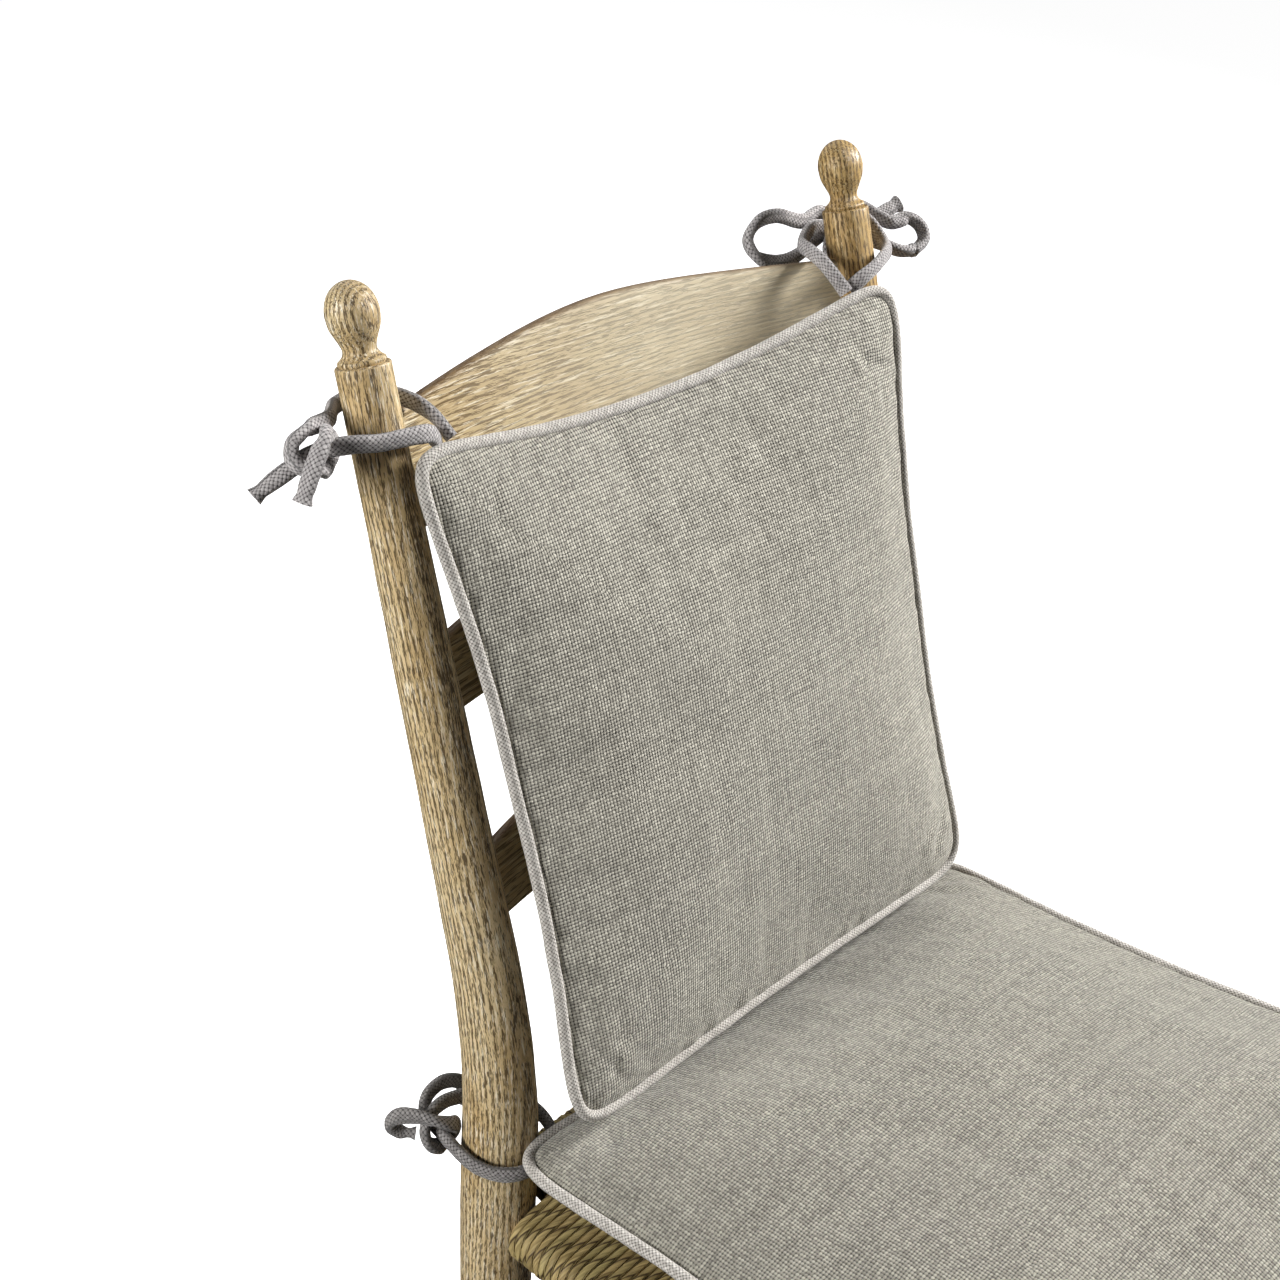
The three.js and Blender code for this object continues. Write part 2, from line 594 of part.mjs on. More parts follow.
/** A nylon glide nailed into the foot of an upright; grow makes the hole for its pin. */
function glide(x, y, grow = 0) {
  const profile = [
    [0, 0], [9, 0], [10.5, 1], [10.5, GLIDE_HEIGHT - GAP], [1.5 + grow, GLIDE_HEIGHT - GAP],
    [1.5 + grow, 16 + grow], [0, 17 + grow],
  ];
  return turning(new THREE.Vector3(x, y, 0), new THREE.Vector3(x, y, 1), profile, 12);
}

for (const [side, sign] of [['left', -1], ['right', 1]]) {
  const postFoot = [sign * POST_X, POST_FOOT_Y - 0.5];
  const legFoot = [sign * LEG_X, LEG_Y];
  const post = subtractAll(postBlank(sign * POST_X), [...holes, ...slatHoles, glide(...postFoot, GAP)]);
  const leg = subtractAll(legBlank(sign * LEG_X), [...holes, glide(...legFoot, GAP)]);
  frame.add(piece(`rear_post_${side}`, post, wood()));
  frame.add(piece(`front_leg_${side}`, leg, wood()));
  frame.add(piece(`rear_glide_${side}`, glide(...postFoot), nylon()));
  frame.add(piece(`front_glide_${side}`, glide(...legFoot), nylon()));
}
for (const [name, size] of Object.entries(SLATS)) frame.add(piece(name, slat(size), slatWood()));
for (const [name, size] of Object.entries(crosses)) frame.add(piece(name, crossPiece(size), wood()));

const uprights = [-1, 1].flatMap((sign) => [upright(sign * POST_X, true), upright(sign * LEG_X, false)]);
const tunnels = ['front_rail', 'rear_rail', 'left_rail', 'right_rail'].map((name) => tunnel(crosses[name]));
seat.add(piece('rush_seat', rushSeat([...uprights, ...tunnels]), rush()));

const backZip = onBackCushion(0, -0.94, 0, 17);
backCushion.add(...cushion('back_cushion', onBackCushion, [BACK_CUSHION.puff, BACK_CUSHION.puff],
  backZip, Math.PI / 2 - POST_RAKE, 'insert'));
const seatZip = onSeatCushion(0, 0.94, 0, -17);
seatCushion.add(...cushion('seat_cushion', onSeatCushion, [SEAT_CUSHION.puffUp, SEAT_CUSHION.puffDown],
  seatZip, 0, 'foam'));

const { seat_outer: seatOuter, seat_inner: seatInner, ...upperRoutes } = TIE_ROUTES;
for (const [name, route] of Object.entries(upperRoutes)) {
  ties.add(piece(`back_tie_${name}`, tieStrand(route), tieCotton()));
}
for (const [side, sign] of [['left', 1], ['right', -1]]) {
  ties.add(piece(`seat_tie_${side}_outer`, tieStrand(seatOuter, sign), tieCotton()));
  ties.add(piece(`seat_tie_${side}_inner`, tieStrand(seatInner, sign), tieCotton()));
}

export default chair;
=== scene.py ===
"""The looks of a ladder-back side chair with two tied cushions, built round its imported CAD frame."""

import math

import bpy
import numpy as np
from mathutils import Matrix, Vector
from mathutils.bvhtree import BVHTree


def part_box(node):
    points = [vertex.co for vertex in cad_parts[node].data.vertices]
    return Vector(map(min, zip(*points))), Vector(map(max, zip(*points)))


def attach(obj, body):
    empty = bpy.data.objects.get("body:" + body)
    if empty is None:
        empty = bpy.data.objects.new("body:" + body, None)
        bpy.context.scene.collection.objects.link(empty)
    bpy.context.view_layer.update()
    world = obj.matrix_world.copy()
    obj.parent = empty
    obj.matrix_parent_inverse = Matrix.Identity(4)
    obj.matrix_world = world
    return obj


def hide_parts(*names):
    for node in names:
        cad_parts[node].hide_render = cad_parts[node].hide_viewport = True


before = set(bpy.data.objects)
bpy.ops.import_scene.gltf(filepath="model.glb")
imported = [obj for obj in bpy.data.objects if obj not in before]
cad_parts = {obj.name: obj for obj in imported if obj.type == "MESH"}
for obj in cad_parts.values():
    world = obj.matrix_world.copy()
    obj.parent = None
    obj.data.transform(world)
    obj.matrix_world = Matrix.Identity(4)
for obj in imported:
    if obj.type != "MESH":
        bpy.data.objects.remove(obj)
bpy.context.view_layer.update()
MM = 0.001
random = np.random.default_rng(20)
BODY = "root"


def middle_of(node):
    """The centre of a CAD node's box, in millimetres."""
    low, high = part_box(node)
    return np.array((low + high) / 2) / MM


def span_of(node):
    """The lowest and highest corners of a CAD node's box, in millimetres."""
    low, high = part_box(node)
    return np.array(low) / MM, np.array(high) / MM


# ---------- camera ----------

CAMERA_AT = (-0.8347, -0.5465, 1.3338)
CAMERA_HEADING = math.radians(46.784)
CAMERA_DROP = math.radians(27.935)
CAMERA_LENS = 54.97

camera_data = bpy.data.cameras.new("camera")
camera_data.lens = CAMERA_LENS
camera_data.sensor_width = 36
camera_data.clip_start = 0.05
camera = bpy.data.objects.new("camera", camera_data)
camera.location = CAMERA_AT
camera.rotation_euler = (math.pi / 2 - CAMERA_DROP, 0, -CAMERA_HEADING)
bpy.context.scene.collection.objects.link(camera)
bpy.context.scene.camera = camera


# ---------- mesh helpers ----------

def make_piece(name, points, faces, attributes=None, crease=40):
    """A mesh piece from points in millimetres, with smooth faces except over creases."""
    mesh = bpy.data.meshes.new(name)
    mesh.from_pydata((np.asarray(points, float) * MM).tolist(), [], [list(map(int, f)) for f in faces])
    mesh.update()
    for key, values in (attributes or {}).items():
        layer = mesh.attributes.new(key, "FLOAT_VECTOR", "POINT")
        layer.data.foreach_set("vector", np.asarray(values, np.float32).ravel())
    mesh.polygons.foreach_set("use_smooth", [True] * len(mesh.polygons))
    mesh.set_sharp_from_angle(angle=math.radians(crease))
    piece = bpy.data.objects.new(name, mesh)
    bpy.context.scene.collection.objects.link(piece)
    return piece


def settle(piece, material, slot, *nodes):
    """Gives a finished piece its material and body, and hides the CAD nodes that it stands for."""
    piece.data.materials.clear()
    piece.data.materials.append(material)
    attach(piece, BODY)
    if nodes:
        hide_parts(*nodes)
    return piece


def ring_faces(rings, sides, closed=False, first=0):
    """Quads between rings of points; closed joins the last ring to the first one."""
    count = rings if closed else rings - 1
    ring, side = np.meshgrid(np.arange(count), np.arange(sides), indexing="ij")
    after = (ring + 1) % rings
    beside = (side + 1) % sides
    corners = [ring * sides + side, ring * sides + beside, after * sides + beside, after * sides + side]
    return (np.stack(corners, -1).reshape(-1, 4) + first).tolist()


def tube_faces(rings, sides, first=0):
    """Faces of a tube of rings, with both of its ends closed."""
    last = first + (rings - 1) * sides
    ends = [list(range(first, first + sides))[::-1], list(range(last, last + sides))]
    return ring_faces(rings, sides, first=first) + ends


def turns(sides):
    """Even steps of one turn, in radians."""
    return 2 * math.pi * np.arange(sides) / sides


def circles(first, second, angle):
    """At each pair of directions, the directions at these angles between them."""
    return first[:, None] * np.cos(angle)[None, :, None] + second[:, None] * np.sin(angle)[None, :, None]


def tube_marks(along, girth, number=0.0):
    """Coordinates for a tube's points: distance along it, distance round it, and a number."""
    shape = (len(along), len(girth))
    rows, columns = np.broadcast_to(along[:, None], shape), np.broadcast_to(girth, shape)
    return np.stack([rows, columns, np.full(shape, number)], -1)


def lathe(profile, sides):
    """Rings of (across, along, out) and faces of a turning from its (radius, distance) profile."""
    profile = np.asarray(profile, float)
    angle = turns(sides)
    across = profile[:, :1] * np.cos(angle)
    out = profile[:, :1] * np.sin(angle)
    along = np.repeat(profile[:, 1:2], sides, 1)
    points = np.stack([across, along, out], -1).reshape(-1, 3)
    return points, tube_faces(len(profile), sides)


def catmull(points, per, power):
    """A Catmull-Rom curve through the points; power is 0 for even and 0.5 for centripetal spacing."""
    points = np.asarray(points, float)
    ends = np.vstack([2 * points[0] - points[1], points, 2 * points[-1] - points[-2]])
    line = []
    for before, start, stop, after in zip(ends, ends[1:], ends[2:], ends[3:]):
        pairs = ((before, start), (start, stop), (stop, after))
        gaps = [max(np.linalg.norm(b - a), 1e-6) ** power for a, b in pairs]
        leave = (start - before) / gaps[0] - (stop - before) / (gaps[0] + gaps[1]) + (stop - start) / gaps[1]
        arrive = (stop - start) / gaps[1] - (after - start) / (gaps[1] + gaps[2]) + (after - stop) / gaps[2]
        leave, arrive = leave * gaps[1], arrive * gaps[1]
        t = np.linspace(0, 1, per, endpoint=False)[:, None]
        line.append(
            start + leave * t + (3 * (stop - start) - 2 * leave - arrive) * t**2
            + (2 * (start - stop) + leave + arrive) * t**3
        )
    return np.vstack(line + [points[-1:]])


def arc_lengths(line):
    """How far along a line each of its points lies."""
    return np.concatenate([[0], np.cumsum(np.linalg.norm(np.diff(line, axis=0), axis=1))])


def sample(values, along, places):
    """Rows of three values, read off at places along a line."""
    return np.stack([np.interp(places, along, values[:, k]) for k in range(3)], 1)


def evenly(line, step):
    """The same line as points about a step apart, and how far along it each one lies."""
    along = arc_lengths(line)
    places = np.linspace(0, along[-1], max(int(along[-1] / step), 2) + 1)
    return sample(line, along, places), places


def unit(vectors):
    """Vectors scaled to length 1."""
    return vectors / np.maximum(np.linalg.norm(vectors, axis=-1, keepdims=True), 1e-12)


def carried_frames(line):
    """A pair of directions square to the line at each point, carried along it without twist."""
    tangents = unit(np.gradient(line, axis=0))
    guess = np.array([0.0, 0.0, 1.0]) if abs(tangents[0][2]) < 0.9 else np.array([1.0, 0.0, 0.0])
    first = [unit(guess - tangents[0] * (guess @ tangents[0]))]
    for tangent in tangents[1:]:
        first.append(unit(first[-1] - tangent * (first[-1] @ tangent)))
    first = np.array(first)
    return first, np.cross(tangents, first)


def smooth_noise(points, size, seed, octaves=2):
    """Soft random values from about -1 to 1 at points in millimetres, with features of the given size."""
    source = np.random.default_rng(seed)
    total = np.zeros(len(points))
    weight = 0
    for octave in range(octaves):
        for _ in range(7):
            wave = unit(source.normal(size=3)) * 2 * math.pi / (size * source.uniform(0.7, 1.5) / 2**octave)
            total += np.sin(points @ wave + source.uniform(0, 2 * math.pi)) / 2**octave
        weight += 2.2 / 2**octave
    return total / weight


# ---------- the chair's shape, in millimetres ----------

POST_X = middle_of("rear_post_right")[0]
GLIDE_HEIGHT = span_of("rear_post_right")[0][2]
POST_FOOT_Y = 199.8
POST_SPLAY = math.atan(0.08)
POST_RAKE = math.atan(0.2141)
BEND_HEIGHT = 555
BEND_RADIUS = 520
RIM_HEIGHT = 973
POST_WIDTHS = [
    (0, 34), (90, 37), (250, 44), (446, 48.9), (545, 44.8), (643, 40), (769, 35.8), (876, 32.5), (971, 31.2),
]
LEG_X, LEG_Y = middle_of("front_leg_right")[:2]
LEG_TOP = span_of("front_leg_right")[1][2]
LEG_RADIUS = 22
LEG_DOME = 10             # height of the rounded top of a front leg
LEG_TAPER_TOP = 320       # a front leg has its full radius above this height
LEG_NECK = (60, 15.5)     # height and radius just over the foot's bead
BEND_CORNER = (BEND_HEIGHT - GLIDE_HEIGHT) / math.cos(POST_SPLAY)
BEND_START = BEND_CORNER - BEND_RADIUS * math.tan((POST_RAKE + POST_SPLAY) / 2)
BEND_LENGTH = BEND_RADIUS * (POST_RAKE + POST_SPLAY)


def post_axis(distance):
    """The y, z and lean of a rear post's axis at distances along it from its foot."""
    distance = np.asarray(distance, float)
    lower = np.minimum(distance, BEND_START)
    around = np.clip(distance - BEND_START, 0, BEND_LENGTH)
    upper = np.maximum(distance - BEND_START - BEND_LENGTH, 0)
    lean = around / BEND_RADIUS - POST_SPLAY
    foot = POST_FOOT_Y - GLIDE_HEIGHT * math.tan(POST_SPLAY)
    y = foot - lower * math.sin(POST_SPLAY) + BEND_RADIUS * (math.cos(POST_SPLAY) - np.cos(lean))
    z = GLIDE_HEIGHT + lower * math.cos(POST_SPLAY) + BEND_RADIUS * (np.sin(lean) + math.sin(POST_SPLAY))
    return y + upper * np.sin(lean), z + upper * np.cos(lean), lean


AXIS_STEPS = np.linspace(0, 1100, 4401)
AXIS_Y, AXIS_Z, _ = post_axis(AXIS_STEPS)
RIM_DISTANCE = np.interp(RIM_HEIGHT, AXIS_Z, AXIS_STEPS)
RIM_Y = float(np.interp(RIM_HEIGHT, AXIS_Z, AXIS_Y))


def post_y(height):
    """Where a rear post's axis stands at a height."""
    return float(np.interp(height, AXIS_Z, AXIS_Y))


def on_back(across, up, behind):
    """A point from its place in the plane of the posts' upper halves."""
    y = RIM_Y + up * math.sin(POST_RAKE) + behind * math.cos(POST_RAKE)
    z = RIM_HEIGHT + up * math.cos(POST_RAKE) - behind * math.sin(POST_RAKE)
    return np.stack(np.broadcast_arrays(across, y, z), -1).astype(float)


# ---------- ties ----------

TIE_RADIUS = 4.3          # between its flat and its broad half
TIE_STEP = 0.9
TIE_SIDES = 20
TIE_END_FLARE = 0.9
TIE_FLATNESS = 0.2
TIE_SUNK = 3.5            # how far a strand starts inside the seam
TIE_ROUTES = {
    "upper_left_front": [
        (-186, 217, 930.5), (-192, 213.5, 936), (-201, 211, 939), (-213, 212, 940), (-226, 216, 940),
        (-238, 222, 941), (-250, 229.5, 940), (-260, 234, 937), (-268, 238, 932), (-278, 242, 926),
        (-288, 245, 920),
    ],
    "upper_left_rear": [
        (-176, 217.5, 931), (-178.5, 224, 939), (-183, 233, 945.5), (-188, 243, 949),
        (-194.5, 255, 950), (-205, 261.5, 948.5), (-218, 261.5, 947), (-236, 245, 948.5),
        (-250.5, 240, 950), (-258.5, 238.5, 949), (-267, 236.5, 945.5), (-270.5, 231.5, 939),
        (-266, 227.5, 933.5), (-256, 227.5, 930), (-245.5, 233, 930.5), (-240.5, 236.5, 936),
        (-242.5, 235.5, 944), (-249, 229.5, 948.5), (-257.5, 222.5, 947.5), (-264.5, 219, 942.5),
        (-272, 217, 933), (-277.5, 217.5, 921.5),
    ],
    "upper_right_outer": [
        (186, 217, 930.5), (192, 213.5, 936), (202, 212.5, 940), (215, 215.5, 943), (229, 222, 944),
        (239, 233, 946), (239, 247, 957.5), (240, 258.5, 956), (235, 265, 955.5), (230, 271, 956.5),
        (221.5, 275.5, 962), (201.5, 275, 960), (179, 279.5, 967.5), (161, 281, 966),
        (150.5, 280, 956.5), (153.5, 275, 946), (169, 271.5, 939), (189.5, 270.5, 938.5),
        (221.5, 277, 943.5), (232.5, 274, 948), (239, 267.5, 948.5), (245.5, 262, 949),
        (255, 262, 950.5), (275.5, 260.5, 954), (289.5, 258.5, 957.5),
    ],
    "upper_right_inner": [
        (176, 217.5, 931), (172.5, 224, 940), (171.5, 234, 948), (175, 247, 951), (183, 259, 951.5),
        (203.5, 267, 956.5), (215, 264, 956), (225, 262, 960.5), (235.5, 269.5, 964.5),
        (243.5, 275.5, 955), (242.5, 272, 941.5), (234, 262, 937.5), (228, 254, 947),
        (231.5, 255, 960.5), (242, 262.5, 964.5), (250.5, 261.5, 962.5), (265, 247, 951.5),
        (282.5, 243.5, 951.5), (290.5, 239, 945), (289.5, 234.5, 937.5), (278, 233, 932.5),
        (264.5, 235, 933.5), (254.5, 240.5, 938), (243.5, 251, 944.5), (238, 256.5, 947.5),
        (232.5, 262.5, 948.5), (226, 266, 946.5), (221, 265.5, 940), (218.5, 263.5, 931),
    ],
    "seat_outer": [
        (-213.5, 129, 478), (-224, 132.5, 478.5), (-233, 141, 479.5), (-238.5, 152.5, 482),
        (-240, 165, 485.5), (-240, 177, 489.5), (-240, 189, 493.5), (-238, 200, 497), (-229, 207, 500),
        (-216, 209, 501), (-204, 208, 496), (-197, 208, 486), (-195, 209, 474),
    ],
    "seat_inner": [
        (-203, 129, 478), (-193, 132.5, 479.5), (-184, 141, 481.5), (-180.5, 154, 485),
        (-181.5, 168, 488), (-189, 181.5, 491), (-202, 190.2, 494.5), (-216, 193, 499),
        (-229, 192.5, 503), (-240, 190, 503.5), (-249, 187, 497), (-249, 184, 488),
        (-240, 182.5, 481.5), (-231.5, 181, 487.5), (-232, 177.5, 497), (-239, 175, 503),
        (-247, 179, 508), (-254, 190, 509.5), (-260, 200, 507), (-262, 205, 499), (-257, 202, 492),
        (-250, 195, 490),
    ],
}
TIES = [
    ("back_tie_upper_left_front", "upper_left_front", 1, 0.118),
    ("back_tie_upper_left_rear", "upper_left_rear", 1, 0.245),
    ("back_tie_upper_right_outer", "upper_right_outer", 1, 0.359),
    ("back_tie_upper_right_inner", "upper_right_inner", 1, 0.367),
    ("seat_tie_left_outer", "seat_outer", 1, 0.150),
    ("seat_tie_left_inner", "seat_inner", 1, 0.253),
    ("seat_tie_right_outer", "seat_outer", -1, 0.150),
    ("seat_tie_right_inner", "seat_inner", -1, 0.253),
]


def tie_mesh(name, route, sign):
    """A braided tube along a route, flat towards the post, with a puckered, slightly flared cut end."""
    corners = np.array(TIE_ROUTES[route], float) * (sign, 1, 1)
    sewn_in = corners[:1] - TIE_SUNK * unit(corners[1:2] - corners[:1])
    line, along = evenly(catmull(np.vstack([sewn_in, corners]), 24, 0.5), TIE_STEP)
    first, second = carried_frames(line)
    angle = turns(TIE_SIDES)
    to_end = along[-1] - along
    swell = 1 + 0.035 * smooth_noise(line, 26, 3) + 0.012 * smooth_noise(line, 9, 5)
    flare = TIE_END_FLARE * np.exp(-to_end / 2.2) - 0.5 * np.exp(-((to_end - 5) / 2.5) ** 2)
    radius = TIE_RADIUS * swell + flare
    post_x = math.copysign(POST_X, line[0][0])
    post_line = np.stack([np.full(len(line), post_x), np.interp(line[:, 2], AXIS_Z, AXIS_Y), line[:, 2]], 1)
    away = line - post_line
    turn = np.unwrap(2 * np.arctan2((away * second).sum(1), (away * first).sum(1))) / 2
    wide = 1 - TIE_FLATNESS * np.cos(2 * (angle[None, :] - turn[:, None]))
    reach = radius[:, None] * wide
    spread = circles(first, second, angle)
    rings = line[:, None] + reach[..., None] * spread
    braid = tube_marks(along, angle * TIE_RADIUS)
    inner = line[-1] + 0.55 * reach[-1][:, None] * spread[-1] - 1.2 * unit(line[-1] - line[-2])
    points = np.vstack([rings.reshape(-1, 3), inner])
    braid = np.vstack([braid.reshape(-1, 3), braid[-1] * (1, 0.55, 0) + (2, 0, 0)])
    faces = tube_faces(len(line) + 1, TIE_SIDES)
    return make_piece(name, points, faces, {"weave": bias(braid)}, crease=75), line


def bias(flat):
    """Weave coordinates, in metres, turned by 45 degrees against a strip's length."""
    turned = np.stack([flat[:, 0] + flat[:, 1], flat[:, 0] - flat[:, 1]], -1) / math.sqrt(2)
    return np.column_stack([turned, flat[:, 2]]) * MM


# ---------- materials ----------

class Shade:
    """One procedural material, put together by short calls."""

    def __init__(self, name):
        self.material = bpy.data.materials.new(name)
        self.material.use_nodes = True
        self.tree = self.material.node_tree
        self.tree.nodes.clear()
        output = self.tree.nodes.new("ShaderNodeOutputMaterial")
        self.surface = self.tree.nodes.new("ShaderNodeBsdfPrincipled")
        self.tree.links.new(self.surface.outputs[0], output.inputs[0])

    def put(self, socket, value):
        if isinstance(value, bpy.types.NodeSocket):
            self.tree.links.new(value, socket)
        else:
            socket.default_value = value

    def node(self, kind, inputs, **settings):
        made = self.tree.nodes.new("ShaderNode" + kind)
        for key, value in settings.items():
            setattr(made, key, value)
        for key, value in inputs.items():
            self.put(made.inputs[key], value)
        return made

    def math(self, operation, a, b=0.0, c=0.0):
        return self.node("Math", {0: a, 1: b, 2: c}, operation=operation).outputs[0]

    def times(self, a, b):
        return self.math("MULTIPLY", a, b)

    def plus(self, a, b):
        return self.math("ADD", a, b)

    def minus(self, a, b):
        return self.math("SUBTRACT", a, b)

    def scaled(self, a, by, plus):
        return self.math("MULTIPLY_ADD", a, by, plus)

    def stored(self, name):
        return self.node("Attribute", {}, attribute_name=name).outputs["Vector"]

    def split(self, vector):
        return self.node("SeparateXYZ", {0: vector}).outputs

    def join(self, x, y, z=0.0):
        return self.node("CombineXYZ", {0: x, 1: y, 2: z}).outputs[0]

    def stretch(self, vector, scale):
        return self.node("VectorMath", {0: vector, 1: scale}, operation="MULTIPLY").outputs[0]

    def noise(self, vector, scale, detail, roughness=0.5):
        inputs = {"Vector": vector, "Scale": scale, "Detail": detail, "Roughness": roughness}
        return self.node("TexNoise", inputs).outputs[0]

    def chance(self, value):
        return self.node("TexWhiteNoise", {"W": value}, noise_dimensions="1D").outputs["Value"]

    def step(self, value, low, high):
        inputs = {"Value": value, "From Min": low, "From Max": high}
        return self.node("MapRange", inputs, interpolation_type="SMOOTHSTEP").outputs[0]

    def mix(self, factor, a, b):
        return self.node("Mix", {0: factor, 6: a, 7: b}, data_type="RGBA").outputs[2]

    def bump(self, height, distance):
        return self.node("Bump", {"Height": height, "Distance": distance, "Strength": 1.0}).outputs[0]

    def finish(self, **sockets):
        for key, value in sockets.items():
            self.put(self.surface.inputs[key.replace("_", " ")], value)
        return self.material


def tint(*colour):
    """A colour given as it shows on a screen, 0 to 255, as the linear values that a shader takes."""
    shown = [c / 255 for c in colour]
    linear = [c / 12.92 if c <= 0.04045 else ((c + 0.055) / 1.055) ** 2.4 for c in shown]
    return (*linear, 1.0)


def limed_oak(name, light, warm, dark, wax, across=1700, along=150, pores=1.0, relief=0.0003, rough=0.34):
    """Brushed, waxed oak; "grain" holds straightened coordinates in metres, with y along the fibres.

    "edge" holds how far a point lies on a slat's top edge, which painted shade darkens, and how much painted
    light pales the crest's face there.
    """
    shade = Shade(name)
    grain = shade.stored("grain")
    wander = shade.noise(shade.stretch(grain, (22, 3.5, 22)), 1, 2)
    x, y, z = shade.split(grain)
    shifted = shade.join(
        shade.plus(x, shade.times(wander, 0.012)), y,
        shade.minus(z, shade.times(wander, 0.009)),
    )
    sx, _, sz = shade.split(shifted)
    from_pith = shade.math("SQRT", shade.math(
        "ADD", shade.math("POWER", shade.plus(sx, 0.071), 2.0),
        shade.math("POWER", shade.plus(sz, 0.043), 2.0),
    ))
    rings = shade.math("SINE", shade.times(from_pith, 2 * math.pi / 0.0031))
    rings = shade.scaled(rings, 0.5, 0.5)
    coarse = shade.noise(shade.stretch(shifted, (across * 0.75, along * 0.8, across * 0.75)), 1, 1.5, 0.6)
    fine = shade.noise(shade.stretch(shifted, (across * 1.4, along * 1.5, across * 1.4)), 1, 1.5, 0.6)
    crowd = shade.scaled(rings, 0.13, -0.05)
    pore_coarse = shade.step(shade.plus(coarse, crowd), 0.575, 0.625)
    pore_fine = shade.step(shade.plus(fine, crowd), 0.575, 0.63)
    pore = shade.math("MAXIMUM", pore_coarse, shade.times(pore_fine, 0.75))
    chalk = shade.noise(shade.stretch(grain, (across * 0.5, along * 0.45, across * 0.5)), 1, 2, 0.6)
    chalk = shade.step(chalk, 0.52, 0.68)
    patch = shade.step(shade.noise(shade.stretch(grain, (34, 9, 34)), 1, 2), 0.36, 0.64)
    colour = shade.mix(shade.times(patch, 0.85), light, warm)
    colour = shade.mix(shade.times(rings, 0.4), colour, warm)
    colour = shade.mix(shade.times(chalk, 0.7), colour, wax)
    colour = shade.mix(shade.times(pore, 0.9 * pores), colour, dark)
    edge, painted_light, _ = shade.split(shade.stored("edge"))
    # Painted light: the crest's face is paled towards its right.
    colour = shade.mix(shade.times(painted_light, 0.5), colour, wax)
    # Painted shade: a slat's top edge is darkened to a warm brown.
    colour = shade.mix(shade.times(edge, 0.8), colour, tint(96, 66, 32))
    fibre = shade.noise(shade.stretch(grain, (across * 3, along * 0.9, across * 3)), 1, 1)
    height = shade.minus(shade.times(fibre, 0.35), pore)
    rough = shade.scaled(pore, 0.28, rough)
    rough = shade.scaled(patch, 0.08, rough)
    return shade.finish(
        Base_Color=colour, Roughness=rough, Normal=shade.bump(height, relief), Specular_IOR_Level=0.45,
    )


YARN_WAVER = 0.75         # how far the yarns wander, in yarn spacings


def woven(name, pitch, light, dark, gap_shade, bump=0.0005, contrast=1.0):
    """Plain weave of uneven yarns; "weave" holds the coordinates along both sets of yarns, in metres."""
    shade = Shade(name)
    place = shade.stored("weave")
    soft = shade.noise(place, 38, 2)
    x, y, _ = shade.split(place)
    a = shade.scaled(soft, YARN_WAVER, shade.math("DIVIDE", x, pitch))
    b = shade.scaled(soft, -YARN_WAVER, shade.math("DIVIDE", y, pitch))
    column, row = shade.math("FLOOR", a), shade.math("FLOOR", b)
    across_a = shade.minus(shade.math("FRACT", a), 0.5)
    across_b = shade.minus(shade.math("FRACT", b), 0.5)
    column_sign = shade.scaled(shade.math("FLOORED_MODULO", column, 2.0), -2.0, 1.0)
    row_sign = shade.scaled(shade.math("FLOORED_MODULO", row, 2.0), -2.0, 1.0)
    cell = shade.join(column, row)
    cell_luck = shade.node("TexWhiteNoise", {0: cell}, noise_dimensions="2D").outputs["Value"]
    column_luck = shade.chance(column)
    row_luck = shade.chance(shade.plus(row, 517.3))

    def yarn(across, luck, sign, other, flip):
        width = shade.scaled(luck, -0.5, 2.35)
        square = shade.math("POWER", shade.math("ABSOLUTE", shade.times(across, width)), 2.0)
        round_top = shade.math("SQRT", shade.math("MAXIMUM", shade.minus(1.0, square), 0.0))
        wave = shade.math("SINE", shade.times(other, math.pi))
        wave = shade.times(shade.times(wave, sign), flip * 0.45)
        return shade.scaled(round_top, 0.55, wave)

    warp = yarn(across_a, column_luck, column_sign, b, 1)
    weft = yarn(across_b, row_luck, row_sign, a, -1)
    height = shade.math("MAXIMUM", warp, weft)
    warp_on_top = shade.math("GREATER_THAN", warp, weft)
    warp_place = shade.join(shade.times(column, 7.31), shade.times(b, 0.7))
    weft_place = shade.join(shade.times(a, 0.7), shade.scaled(row, 5.17, 90.0))
    warp_slub, weft_slub = shade.noise(warp_place, 1, 2), shade.noise(weft_place, 1, 2)
    warp_tone = shade.scaled(shade.minus(column_luck, 0.5), 0.1 * contrast, warp_slub)
    weft_tone = shade.scaled(shade.minus(row_luck, 0.5), 0.1 * contrast, weft_slub)
    tone = shade.node("Mix", {0: warp_on_top, 2: weft_tone, 3: warp_tone}, data_type="FLOAT").outputs[0]
    speck = shade.noise(shade.join(a, b), 2.7, 2, 0.7)
    tone = shade.scaled(shade.minus(speck, 0.5), 0.55 * contrast, tone)
    tone = shade.scaled(shade.minus(cell_luck, 0.5), 0.22 * contrast, tone)
    colour = shade.mix(shade.step(tone, 0.18, 0.82), dark, light)
    # Painted shade: the gaps between the yarns are darkened to the third colour.
    depth = shade.step(height, 0.3, 0.86)
    colour = shade.mix(depth, gap_shade, colour)
    age = shade.step(shade.noise(place, 9, 2), 0.3, 0.7)
    colour = shade.mix(shade.times(age, 0.1), colour, dark)
    fuzz = shade.scaled(speck, 0.3, height)
    return shade.finish(
        Base_Color=colour, Roughness=0.9, Normal=shade.bump(fuzz, bump), Specular_IOR_Level=0.2,
        Sheen_Weight=0.25, Sheen_Roughness=0.5,
    )


